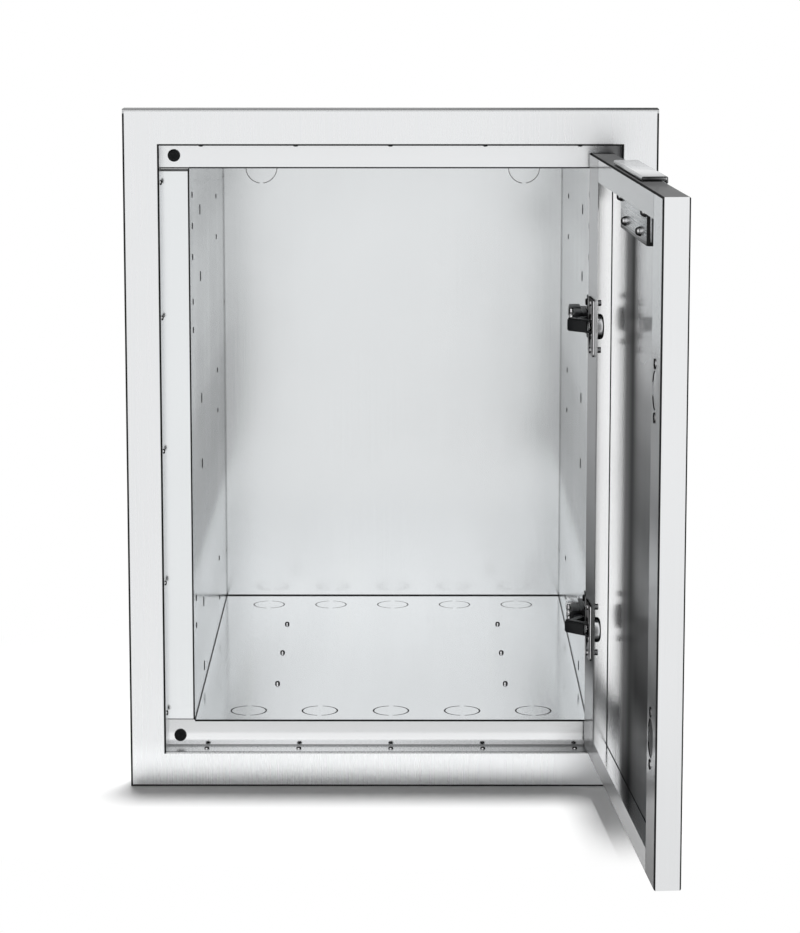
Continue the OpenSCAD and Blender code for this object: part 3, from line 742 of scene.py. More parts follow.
@dataclass(frozen=True)
class KnockoutFinish(BrushedSheet):
    """A sheet with round knockouts, whose slits show as thin rings of painted shade."""

    ring_half: float = 0.7
    tab_half: float = 2.5

    def ring(self, sheet: ShaderSheet, across: Amount, along: Amount) -> Amount:
        """The painted shade in the slit of one knockout, without its two tabs.

        Args:
            sheet: the tree.
            across: the distance from the centre across the tabs' line.
            along: the distance from the centre along the tabs' line.

        Returns:
            A mask.
        """
        reach = (across * across + along * along) ** 0.5
        ring = sheet.within(reach - sheet.layout.knockout_wide / 2, self.ring_half, 0.4)
        return ring * (1.0 - sheet.within(across, self.tab_half, 0.3))


@dataclass(frozen=True)
class FloorFinish(KnockoutFinish):
    """The floor with its sill: knockout rings, streaks along the brushing, seams, and painted light on the
    sill's lower part.
    """

    # Greys of the sill from its foot up, with painted light on the lower part.
    sill_light_grades: Greys = (0.92, 0.92, 0.85, 0.72, 0.71, 0.71)
    streak_share: float = 0.16
    front_ring_share: float = 0.85
    rear_ring_share: float = 0.5

    def knockouts(self, sheet: ShaderSheet) -> Amount:
        """All the floor's knockout rings of painted shade, from one ring that repeats across.

        Args:
            sheet: the floor's tree.

        Returns:
            A mask.
        """
        size = sheet.layout
        step = size.knockout_pitch
        across = sheet.x - sheet.math("ROUND", sheet.x / step) * step
        inside = sheet.within(sheet.x, 2.5 * step, 1.0)
        front = self.ring(sheet, across, sheet.y - size.knockout_front)
        rear = self.ring(sheet, across, sheet.y - (size.back - size.knockout_rear))
        return sheet.either(front * self.front_ring_share, rear * self.rear_ring_share) * inside

    def light(self, sheet: ShaderSheet) -> Amount:
        """Streaks on the floor, and the sill by its height, with painted light on its lower part.

        Args:
            sheet: the floor's tree.

        Returns:
            A share of the tint.
        """
        size = sheet.layout
        streak = 1.0 + sheet.noise((14.0, 0.8, 1.0), 3.0) * self.streak_share
        sill = sheet.grade(sheet.z, size.open_low, size.floor, self.sill_light_grades)
        return super().light(sheet) * blend(streak, sill, sheet.within(sheet.y, 1.5, 1.0))

    def lines(self, sheet: ShaderSheet) -> Amount:
        """Painted shade on the bends, in the knockouts and in the crease at the sill's foot, and the seams
        with the back and the walls.

        Args:
            sheet: the floor's tree.

        Returns:
            A mask.
        """
        size = sheet.layout
        level = sheet.faces(Way.UP, 0.05, 0.02)
        rear = sheet.within(sheet.y - size.back, 3.0, 1.2) * 0.95
        side = sheet.within(abs(sheet.x) - size.wall, 0.8, 0.7) * 0.7
        foot = sheet.within(sheet.z - size.open_low, 1.4, 0.6) * (1.0 - level) * 0.5
        return sheet.either(sheet.bent(), self.knockouts(sheet), sheet.either(rear, side) * level, foot)


@dataclass(frozen=True)
class BackFinish(KnockoutFinish):
    """The back, with two knockouts, slow clouds, and painted shade towards both sides."""

    heights: Greys = (1.06, 0.98, 0.97, 0.98, 0.99, 0.98)
    # Painted shade towards both sides.
    side_grey: float = 0.93

    def light(self, sheet: ShaderSheet) -> Amount:
        """Slow upright clouds, a grade by height, and painted shade a little darker to both sides.

        Args:
            sheet: the back's tree.

        Returns:
            A share of the tint.
        """
        size = sheet.layout
        cloud = 1.0 + sheet.noise((3.2, 1.0, 1.6), 3.0, 0.8) * self.cloud_share
        level = sheet.grade(sheet.z, size.floor, size.ceiling, self.heights)
        middle = sheet.within(sheet.x, size.wall * 0.80, size.wall * 0.18)
        return cloud * level * blend(self.side_grey, 1.0, middle)

    def lines(self, sheet: ShaderSheet) -> Amount:
        """Painted shade on the bends and in the two knockouts, and the seams with the floor and the walls.

        Args:
            sheet: the back's tree.

        Returns:
            A mask.
        """
        size = sheet.layout
        across = abs(sheet.x) - size.knockout_span / 2
        rings = self.ring(sheet, across, sheet.z - (size.ceiling - size.knockout_drop)) * 0.4
        foot = sheet.within(sheet.z - size.floor, 1.0, 0.6) * 0.9
        side = sheet.within(abs(sheet.x) - size.wall, 1.2, 0.8) * 0.25
        return sheet.either(sheet.bent(), rings, foot, side)


@dataclass(frozen=True)
class HeaderFinish(BrushedSheet):
    """The box's top and its header, with painted shade in the corner over the hinges."""

    corner_shade_grey: float = 0.30
    corner_wide: float = 30.0
    corner_inset: float = 8.0
    corner_streak_share: float = 0.6

    def light(self, sheet: ShaderSheet) -> Amount:
        """Plain steel, with streaked painted shade in the header's right corner.

        Args:
            sheet: the top's tree.

        Returns:
            A share of the tint.
        """
        corner_x = sheet.layout.open_half - self.corner_inset
        near = sheet.within(sheet.x - corner_x, 4.0, self.corner_wide)
        corner_streak = 1.0 + sheet.noise((30.0, 1.0, 60.0)) * self.corner_streak_share
        corner = sheet.share(sheet.within(sheet.y, 3.0, 1.0) * near * corner_streak)
        return blend(super().light(sheet), self.corner_shade_grey, corner)

    def lines(self, sheet: ShaderSheet) -> Amount:
        """Painted shade on the bends and along the header's lower edge.

        Args:
            sheet: the top's tree.

        Returns:
            A mask.
        """
        front = sheet.within(sheet.y, 3.0, 1.0)
        edge = sheet.within(sheet.z - sheet.layout.ceiling, 1.3, 0.4) * front
        return sheet.either(sheet.bent(), edge)


@dataclass(frozen=True)
class DoorPartFinish(BrushedSheet):
    """Steel of a piece on the door, patterned in the closed door's own axes."""

    body: Body = Body.DOOR


@dataclass(frozen=True)
class DoorFinish(DoorPartFinish):
    """The door: bands of painted reflection inside, a top in painted shade, and a pale edge between dark
    lines of painted shade.

    The bands run from the free edge to the hinges, and the heights from the foot up.
    """

    # Greys of painted reflection and shade on the door's inner side.
    skin_reflection_bands: Greys = (0.30, 0.30, 0.30, 0.30, 0.30, 0.30, 0.14, 0.14, 0.08, 0.20, 0.74, 0.92, 0.96)
    far_reflection_heights: Greys = (0.20, 0.17, 0.06, 0.10, 0.21, 0.15, 0.20, 0.31, 0.60, 0.75, 0.82, 0.82)
    rim_reflection_heights: Greys = (0.36, 0.50, 0.08, 0.13, 0.24, 0.31, 0.375, 0.41, 0.45, 0.53, 0.54, 0.50)
    free_rim_reflection_heights: Greys = (0.22, 0.27, 0.46, 0.13, 0.26, 0.45, 0.25, 0.32, 0.36, 0.78, 0.82, 0.80)
    cross_rim_reflection_heights: Greys = (0.40, 0.5, 0.5, 0.66)
    edge_heights: Greys = (0.83, 0.89, 0.91, 0.91)
    far_reach: float = 290.0
    far_fade: float = 50.0
    reflection_ripple_share: float = 0.5
    # The grey of the painted shade on the door's top.
    top_shade_grey: float = 0.14
    return_grey: float = 1.18
    front_grey: float = 0.88
    seam_half: float = 0.5
    edge_half: float = 1.1

    def skin(self, sheet: ShaderSheet) -> Amount:
        """The skin's inner side in painted reflection: bands across near the hinges, and heights further
        away.

        Args:
            sheet: the door's tree.

        Returns:
            A share of the tint.
        """
        size = sheet.layout
        half = size.door_half
        band = sheet.grade(sheet.x, -half, half, self.skin_reflection_bands)
        height = sheet.grade(sheet.z, size.door_low, size.door_high, self.far_reflection_heights)
        reflection_ripple = 1.0 + sheet.noise((9.0, 9.0, 1.2), 3.0, 0.6) * self.reflection_ripple_share
        return blend(band, height, sheet.within(sheet.x + half, self.far_reach, self.far_fade)) * reflection_ripple

    def rims(self, sheet: ShaderSheet) -> Amount:
        """Painted reflection on the inner rims: the hinges', the free one, and the two cross ones.

        Args:
            sheet: the door's tree.

        Returns:
            A share of the tint.
        """
        size = sheet.layout
        hinge_side = sheet.within(sheet.x - size.door_half, size.hinge_rim, 0.6)
        free_side = sheet.within(sheet.x + size.door_half, size.free_rim, 0.6)
        hinge_grey, free_grey, cross_grey = (
            sheet.grade(sheet.z, size.door_low, size.door_high, heights)
            for heights in (self.rim_reflection_heights, self.free_rim_reflection_heights, self.cross_rim_reflection_heights)
        )
        upright = hinge_side * hinge_grey + free_side * free_grey
        return upright + (1.0 - hinge_side) * (1.0 - free_side) * cross_grey

    def light(self, sheet: ShaderSheet) -> Amount:
        """The rims, the skin's inner side, the top and the returns, each with its own grey; the rims, the
        skin and the top are in painted reflection and shade.

        Args:
            sheet: the door's tree.

        Returns:
            A share of the tint.
        """
        size = sheet.layout
        inner = sheet.faces(Way.INWARD)
        skin = inner * sheet.within(sheet.y - size.door_outer, 4.0, 2.0)
        top = sheet.faces(Way.UP) * sheet.within(sheet.z - size.door_high, 3.0, 1.0)
        aside = sheet.faces(Way.LEFT)
        edge = aside * sheet.within(sheet.x + size.door_half, 4.0, 1.0)
        edge_grey = sheet.grade(sheet.z, size.door_low, size.door_high, self.edge_heights)
        outside = 1.0 + (aside - edge) * (self.return_grey - 1.0) + edge * (edge_grey - 1.0)
        outside = outside + sheet.faces(Way.OUTWARD) * (self.front_grey - 1.0)
        light = super().light(sheet) * (1.0 - inner) * outside
        light = light + inner * (1.0 - skin) * self.rims(sheet) + skin * self.skin(sheet)
        streak = 1.0 + sheet.noise((9.0, 30.0, 1.0)) * self.reflection_ripple_share
        return blend(light, streak * self.top_shade_grey, top)

    def lines(self, sheet: ShaderSheet) -> Amount:
        """Painted shade on the bends and along the free edge's sides, and the seams where the cross rims meet
        the upright ones.

        Args:
            sheet: the door's tree.

        Returns:
            A mask.
        """
        size = sheet.layout
        half = size.door_half
        hinge_seam = sheet.within(sheet.x - (half - size.hinge_rim), self.seam_half, 0.4)
        free_seam = sheet.within(sheet.x - (size.free_rim - half), self.seam_half, 0.4)
        head = sheet.within(sheet.z - size.door_high, size.cross_rim, 0.5)
        foot = sheet.within(sheet.z - size.door_low, size.cross_rim, 0.5)
        seams = sheet.either(hinge_seam, free_seam) * sheet.either(head, foot) * sheet.faces(Way.INWARD)
        front = sheet.within(sheet.y - size.door_outer, self.edge_half, 0.7)
        rear = sheet.within(sheet.y - size.door_inner, self.edge_half, 0.7)
        edge = sheet.within(sheet.x + half, self.edge_half, 0.7) * sheet.either(front, rear)
        return sheet.either(sheet.bent(), seams * 0.5, edge)


@dataclass(frozen=True)
class PullFinish(DoorPartFinish):
    """The pull: plain along its length, with painted highlights on the rolled edges of its ends, which are in
    painted shade.
    """

    end_highlight_greys: Greys = (0.9, 0.35, 0.2, 0.25, 0.25, 0.3, 0.4, 0.95)
    long_bend_share: float = 0.6

    def light(self, sheet: ShaderSheet) -> Amount:
        """Plain steel, and the ends in painted shade and highlights by their depth.

        Args:
            sheet: the pull's tree.

        Returns:
            A share of the tint.
        """
        size = sheet.layout
        ends = sheet.within(abs(sheet.facing[0]) - 1.0, 0.1, 0.1)
        depth = (size.door_inner - size.pull_setback) - sheet.y
        grey = sheet.grade(depth, 0.0, size.pull_width, self.end_highlight_greys)
        return blend(super().light(sheet), grey, ends)

    def lines(self, sheet: ShaderSheet) -> Amount:
        """Painted shade on the bends, faint along the bar and full round its ends."""
        turned = sheet.within(sheet.facing[0], 0.3, 0.3)
        return sheet.bent() * (1.0 - turned * self.long_bend_share)


@dataclass(frozen=True)
class BracketFinish(DoorPartFinish):
    """The pull's bracket, with a painted highlight stripe between bends of painted shade on its end flange.
    """

    flange_highlight_greys: Greys = (0.02, 0.02, 0.9, 1.0, 0.02, 0.02, 0.02, 0.02)
    stripe_reach: float = 9.5
    foot_shade_grey: float = 0.02

    def light(self, sheet: ShaderSheet) -> Amount:
        """Plain steel, and the flange in painted highlight and shade by its depth, with painted shade at its
        foot.

        Args:
            sheet: the bracket's tree.

        Returns:
            A share of the tint.
        """
        size = sheet.layout
        flange = sheet.within(abs(sheet.facing[0]) - 1.0, 0.25, 0.2)
        depth = (size.door_inner - size.bracket_set) - sheet.y
        grey = sheet.grade(depth, 0.0, self.stripe_reach, self.flange_highlight_greys)
        grey = blend(grey, self.foot_shade_grey, sheet.within(sheet.z - size.bracket_foot, 3.5, 1.0))
        return blend(super().light(sheet), grey, flange)


@dataclass(frozen=True)
class FastenerFinish(Finish):
    """Plated steel of a small head, with painted shade round its rim and in its recess."""

    name: str
    tint: Colour = (0.86, 0.86, 0.87)
    # The grey of the painted shade round the rim and in the recess.
    dark: float = 0.035
    roughness: float = 0.20

    def draw(self, sheet: ShaderSheet) -> None:
        """Fills the tree from the shadow attribute that the fasteners carry.

        Args:
            sheet: the tree.
        """
        shadow = sheet.node("ShaderNodeAttribute", {"attribute_name": "shadow"})
        tooth = sheet.noise((1500.0, 1500.0, 1500.0))
        dark = Amount(sheet, shadow.outputs["Fac"])
        sockets = {
            "Base Color": sheet.tinted(self.tint, blend(1.0 + tooth * 0.08, self.dark, dark)),
            "Metallic": 1.0,
            "Roughness": self.roughness + tooth * 0.1 + dark * 0.2,
        }
        sheet.finish(sockets, tooth * 0.000008)


@dataclass(frozen=True)
class GlintFinish(Finish):
    """Polished small parts in painted highlight and shade: a grey for how far they face the open front, from
    away to straight.
    """

    name: str
    greys: Greys
    tint: Colour = (0.90, 0.90, 0.91)
    roughness: float = 0.16
    # The fixed direction that the painted highlight faces.
    front: tuple[float, float, float] = (-0.10, -0.96, 0.26)

    def draw(self, sheet: ShaderSheet) -> None:
        """Fills the tree with painted highlight and shade from the surface's own direction.

        Args:
            sheet: the tree.
        """
        turned = sheet.node("ShaderNodeCombineXYZ", sockets=dict(enumerate(sheet.facing)))
        towards = sheet.node(
            "ShaderNodeVectorMath", {"operation": "DOT_PRODUCT"}, {0: turned.outputs[0], 1: self.front}
        )
        tooth = sheet.noise((900.0, 900.0, 900.0))
        # Painted highlight and shade by how far the surface faces that direction.
        shade = sheet.grade(Amount(sheet, towards.outputs["Value"]), 0.0, 1.0, self.greys)
        sockets = {
            "Base Color": sheet.tinted(self.tint, shade * (1.0 + tooth * 0.1)),
            "Metallic": sheet.metal(shade),
            "Roughness": self.roughness + tooth * 0.1,
            "Specular IOR Level": 0.0,
        }
        sheet.finish(sockets, tooth * 0.000004)


@dataclass(frozen=True)
class SolidFinish(Finish):
    """Paint, rubber or a cut edge, with a fine tooth and faint patches."""

    name: str
    tint: Colour
    roughness: float
    metallic: float = 0.0
    tooth_cells: float = 1200.0
    tooth_depth: float = 0.00002
    mottle: float = 0.25
    shine: float = 0.15

    def draw(self, sheet: ShaderSheet) -> None:
        """Fills the tree with one colour, its tooth and its patches.

        Args:
            sheet: the tree.
        """
        tooth = sheet.noise((self.tooth_cells,) * 3, 3.0)
        patch = sheet.noise((60.0, 60.0, 60.0), 3.0)
        sockets = {
            "Base Color": sheet.tinted(self.tint, 1.0 + tooth * self.mottle + patch * self.mottle),
            "Metallic": self.metallic,
            "Roughness": self.roughness + tooth * 0.12 + patch * 0.1,
            "Specular IOR Level": self.shine,
        }
        sheet.finish(sockets, tooth * self.tooth_depth)


FACE_STEEL = FaceFinish("face frame steel", (0.845, 0.855, 0.865), 0.28, Grain.ALONG_Z, 0.018, 0.015)
WALL_STEEL = WallFinish("side wall steel", (0.78, 0.80, 0.81), 0.20)
FLOOR_STEEL = FloorFinish("floor steel", (0.96, 0.97, 0.98), 0.13, Grain.ALONG_Y)
BACK_STEEL = BackFinish("back wall steel", (0.79, 0.81, 0.82), 0.20, Grain.ALONG_Z, 0.04, 0.10)
TOP_STEEL = HeaderFinish("top steel", (0.83, 0.84, 0.85), 0.24, Grain.ALONG_X)
PLAIN_STEEL = BrushedSheet("plain sheet steel", (0.80, 0.815, 0.825), 0.24)
DOOR_STEEL = DoorFinish("door steel", (0.90, 0.91, 0.92), 0.14)
PULL_STEEL = PullFinish("pull steel", (0.70, 0.71, 0.72), 0.20, Grain.ALONG_X)
BRACKET_STEEL = BracketFinish("pull bracket steel", (0.84, 0.85, 0.86), 0.27, Grain.ALONG_X)
PLATE_STEEL = BrushedSheet("hinge plate nickel", (0.34, 0.345, 0.35), 0.18, Grain.ALONG_Z, 0.03)
# Greys of painted highlight and shade, from surfaces facing away to surfaces facing the open front.
CUP_STEEL = GlintFinish("hinge cup nickel", (0.02, 0.02, 0.02, 0.02, 0.02, 0.05, 0.30, 0.95, 1.0))
CUP_PLATE_STEEL = GlintFinish("cup plate nickel", (0.30, 0.30, 0.02, 0.02, 0.02, 0.02, 0.30, 1.0, 1.0))
COVER_STEEL = GlintFinish("hinge cover nickel", (0.40, 0.60, 0.90, 0.80, 0.04, 0.03, 0.15, 0.90, 0.95))
WHEEL_STEEL = GlintFinish("adjusting wheel nickel", (0.02, 0.02, 0.02, 0.02, 0.03, 0.3, 1.0, 1.0))
HEAD_STEEL = GlintFinish("bright fastener steel", (0.02, 0.02, 0.02, 0.02, 0.02, 0.02, 0.02, 0.25, 1.0))
# Painted shade round each head's rim and in its recess.
OUTER_STEEL = FastenerFinish("outer rivet steel")
DULL_STEEL = FastenerFinish("dull fastener steel", (0.42, 0.42, 0.43), 0.03, 0.3)
LINK_STEEL = SolidFinish("hinge link steel", (0.009, 0.010, 0.011), 0.34)
BLACK_PAINT = SolidFinish("black hinge paint", (0.010, 0.011, 0.012), 0.36)
# A pressed edge whose dark is painted shade of the hole it rims.
HOLE_RIM_SHADE = SolidFinish("pressed edge with painted hole shade", (0.03, 0.03, 0.032), 0.45, 0.2)
# Cut edges whose grey is painted shade of the knockouts' slits.
CUT_EDGE_SHADE = SolidFinish("grey cut edge with painted slit shade", (0.14, 0.145, 0.15), 0.45, 0.2)
PALE_EDGE_SHADE = SolidFinish("pale cut edge with painted slit shade", (0.30, 0.31, 0.32), 0.45, 0.2)
RUBBER = SolidFinish("black rubber", (0.010, 0.011, 0.012), 0.55, mottle=0.5, tooth_depth=0.00006)


def rounded(width: float, height: float, radius: float, steps: int = 6) -> list[Point]:
    """A rectangle about the origin with round corners.

    Args:
        width: its width.
        height: its height.
        radius: the corners' radius.
        steps: edges in each corner.

    Returns:
        Its points, counterclockwise.
    """
    points = []
    for corner, (sx, sy) in enumerate(((1, 1), (-1, 1), (-1, -1), (1, -1))):
        for step in range(steps + 1):
            angle = math.pi / 2 * (corner + step / steps)
            x = sx * (width / 2 - radius) + radius * math.cos(angle)
            y = sy * (height / 2 - radius) + radius * math.sin(angle)
            points.append((x, y))
    return points


def disc(radius: float, sides: int = 28, centre: Point = (0.0, 0.0)) -> list[Point]:
    """A circle.

    Args:
        radius: its radius.
        sides: its edges.
        centre: its centre.

    Returns:
        Its points, counterclockwise.
    """
    turns = (2 * math.pi * (side + 0.5) / sides for side in range(sides))
    return [(centre[0] + radius * math.cos(turn), centre[1] + radius * math.sin(turn)) for turn in turns]


def bar(length: float, radius: float, steps: int = 8) -> list[Point]:
    """A bar from the origin along X with round ends.

    Args:
        length: the distance between the ends' centres.
        radius: the ends' radius.
        steps: edges in each end.

    Returns:
        Its points, counterclockwise.
    """
    points = []
    for centre, start in ((length, -math.pi / 2), (0.0, math.pi / 2)):
        for step in range(steps + 1):
            angle = start + math.pi * step / steps
            points.append((centre + radius * math.cos(angle), radius * math.sin(angle)))
    return points


def thickened(path: Sequence[Point], thickness: float) -> list[Point]:
    """The outline of a strip that follows a path.

    Args:
        path: the strip's middle line.
        thickness: the strip's thickness.

    Returns:
        Its points, all round.
    """
    sides: tuple[list[Point], list[Point]] = ([], [])
    for index, (x, y) in enumerate(path):
        before = path[max(index - 1, 0)]
        after = path[min(index + 1, len(path) - 1)]
        run = Vector((after[0] - before[0], after[1] - before[1])).normalized() * thickness / 2
        sides[0].append((x - run.y, y + run.x))
        sides[1].append((x + run.y, y - run.x))
    return sides[1] + sides[0][::-1]


def arc(centre: Point, radius: float, start: float, end: float, steps: int = 8) -> list[Point]:
    """Points on an arc.

    Args:
        centre: its centre.
        radius: its radius.
        start: its first angle in degrees.
        end: its last angle in degrees.
        steps: its edges.

    Returns:
        The points in order.
    """
    angles = (math.radians(start + (end - start) * step / steps) for step in range(steps + 1))
    return [(centre[0] + radius * math.cos(angle), centre[1] + radius * math.sin(angle)) for angle in angles]


class Lie(Enum):
    """How a shape drawn flat lies on the cabinet: where its X, Y and Z go."""

    WALL = ((0, 1, 0), (0, 0, 1), (1, 0, 0))
    ROOM = ((0, 1, 0), (0, 0, 1), (-1, 0, 0))
    FRONT = ((1, 0, 0), (0, 0, 1), (0, -1, 0))
    ACROSS = ((0, -1, 0), (0, 0, 1), (-1, 0, 0))


def laid(lie: Lie, origin: Sequence[float]) -> Matrix:
    """The placement of a shape drawn flat.

    Args:
        lie: how it lies.
        origin: where its origin goes.

    Returns:
        The placement.
    """
    return Matrix.Translation(origin) @ Matrix(lie.value).transposed().to_4x4()


def paired(middles: Sequence[float], span: float) -> list[float]:
    """Two places about each middle.

    Args:
        middles: the middles.
        span: the distance between the two places.

    Returns:
        All the places, in order.
    """
    return [middle + side * span / 2 for middle in middles for side in (-1, 1)]


def split_sides(outline: Sequence[Point], longest: float) -> list[Point]:
    """Adds points along the long sides of an outline.

    Args:
        outline: the corners, in order.
        longest: the longest step wanted, in millimetres.

    Returns:
        The corners and the added points, in order.
    """
    points = []
    for (x, y), (next_x, next_y) in zip(outline, [*outline[1:], outline[0]]):
        count = max(1, round(math.hypot(next_x - x, next_y - y) / longest))
        shares = [step / count for step in range(count)]
        points += [(x + (next_x - x) * share, y + (next_y - y) * share) for share in shares]
    return points


def put(name: str, data: bpy.types.ID) -> bpy.types.Object:
    """Puts a new object in the scene.

    Args:
        name: its name.
        data: its mesh, lamp or camera.

    Returns:
        The object.
    """
    made = bpy.data.objects.new(name, data)
    bpy.context.scene.collection.objects.link(made)
    return made


class Workpiece:
    """One mesh in the making, in millimetres."""

    knurl_band: float = 0.6

    def __init__(self) -> None:
        """Starts with nothing."""
        self.mesh = bmesh.new()

    def add(self, part: bmesh.types.BMesh, place: Matrix, edge: float = 0.0) -> None:
        """Joins a finished shape, with its sharp edges rounded.

        Args:
            part: the shape, which is used up.
            place: its placement.
            edge: the width of the rounding.
        """
        bmesh.ops.remove_doubles(part, verts=part.verts, dist=MERGE)
        bmesh.ops.recalc_face_normals(part, faces=part.faces)
        if edge:
            part.normal_update()
            folds = [fold for fold in part.edges if fold.is_manifold]
            sharp = [fold for fold in folds if fold.calc_face_angle() > SHARP_FOLD]
            bmesh.ops.bevel(
                part, geom=sharp, offset=edge, segments=2, profile=0.5, affect="EDGES", clamp_overlap=True
            )
        part.transform(place)
        if place.determinant() < 0:
            bmesh.ops.reverse_faces(part, faces=part.faces)
        joined = bpy.data.meshes.new("part")
        part.to_mesh(joined)
        self.mesh.from_mesh(joined)
        bpy.data.meshes.remove(joined)
        part.free()

    def band(self, part: bmesh.types.BMesh, one: list[Any], other: list[Any]) -> None:
        """Joins two loops of corners with faces.

        Args:
            part: the shape that holds both.
            one: the first loop.
            other: the second one, with as many corners.
        """
        for i in range(len(one)):
            part.faces.new((one[i - 1], one[i], other[i], other[i - 1]))

    def prism(
        self,
        outline: Sequence[Point],
        low: float,
        high: float,
        place: Matrix = Matrix(),
        edge: float = 0.0,
        hole: Optional[Sequence[Point]] = None,
    ) -> None:
        """Adds an outline drawn up along Z.

        Args:
            outline: the outline in XY.
            low: its lower end.
            high: its upper end.
            place: its placement.
            edge: the width of the edges' rounding.
            hole: a hole with as many points as the outline.
        """
        part = bmesh.new()
        rings = [
            [[part.verts.new((x, y, z)) for x, y in loop] for z in (low, high)]
            for loop in (outline, hole) if loop is not None
        ]
        for foot, head in rings:
            self.band(part, foot, head)
        if hole is None:
            part.faces.new(rings[0][0][::-1])
            part.faces.new(rings[0][1])
        else:
            self.band(part, rings[0][0], rings[1][0])
            self.band(part, rings[0][1], rings[1][1])
        self.add(part, place, edge)

    def block(
        self, low: Sequence[float], high: Sequence[float], place: Matrix = Matrix(), edge: float = 0.4
    ) -> None:
        """Adds a block with rounded edges.

        Args:
            low: its lowest corner.
            high: its highest corner.
            place: its placement.
            edge: the width of the edges' rounding.
        """
        outline = [(low[0], low[1]), (high[0], low[1]), (high[0], high[1]), (low[0], high[1])]
        self.prism(outline, low[2], high[2], place, edge)

    def lathe(
        self, profile: Sequence[Point], place: Matrix = Matrix(), sides: int = 40, knurl: float = 0.0
    ) -> None:
        """Adds a profile turned about Z.

        Args:
            profile: radius and height pairs, from the axis or back round to the start.
            place: its placement.
            sides: steps round the axis.
            knurl: how deep every other step is cut on the widest radius.
        """
        part = bmesh.new()
        widest = max(radius for radius, _ in profile)
        rings = []
        for radius, height in profile:
            ring = []
            for side in range(sides):
                cut = knurl if side % 2 and radius > widest - self.knurl_band else 0.0
                angle = 2 * math.pi * side / sides
                reach = max(radius - cut, 0.0)
                ring.append(part.verts.new((reach * math.cos(angle), reach * math.sin(angle), height)))
            rings.append(ring)
        for lower, upper in zip(rings, rings[1:]):
            self.band(part, lower, upper)
        bmesh.ops.remove_doubles(part, verts=part.verts, dist=MERGE)
        bmesh.ops.dissolve_degenerate(part, edges=part.edges, dist=MERGE / 10)
        self.add(part, place)

    def finish(
        self, name: str, place: Matrix, material: bpy.types.Material, sharp: float = 32.0
    ) -> bpy.types.Object:
        """Ends the mesh and puts it in the scene.

        Args:
            name: the piece's name.
            place: millimetres to metres in the row's frame.
            material: its material.
            sharp: the angle in degrees past which an edge stays sharp.

        Returns:
            The piece.
        """
        self.mesh.transform(place)
        mesh = bpy.data.meshes.new(name)
        self.mesh.to_mesh(mesh)
        self.mesh.free()
        mesh.shade_smooth()
        mesh.set_sharp_from_angle(angle=math.radians(sharp))
        mesh.materials.append(material)
        return put(name, mesh)


@dataclass(frozen=True)
class Head:
    """A round fastener: a crown on a flange, over a shank. A crown of 1 is a dome, near 0 a flat."""

    radius: float
    height: float
    shank_radius: float
    shank_length: float
    flange_radius: float = 0.0
    flange_height: float = 0.0
    crown: float = 1.0
    recess: float = 0.0
    sides: int = 24

    def sizes(self) -> dict[str, float]:
        """Its sizes for the node tree.

        Returns:
            The sizes by input name, in metres.
        """
        return {
            "Crown radius": self.radius * MM,
            "Crown height": self.height * MM,
            "Crown fullness": self.crown,
            "Flange radius": max(self.flange_radius, self.radius) * MM,
            "Flange height": self.flange_height * MM,
            "Shank radius": self.shank_radius * MM,
            "Shank length": self.shank_length * MM,
            "Recess width": self.recess * MM,
        }


@dataclass(frozen=True)
class Hole:
    """A slot or round hole with a wire for its rim. Its sides are the edges round it."""

    length: float
    width: float
    wire: float = 0.55
    sides: int = 20

    def sizes(self) -> dict[str, float]:
        """Its sizes for the node tree, by input name and in metres."""
        return {"Hole width": self.width * MM, "Hole length": self.length * MM, "Wire radius": self.wire * MM}


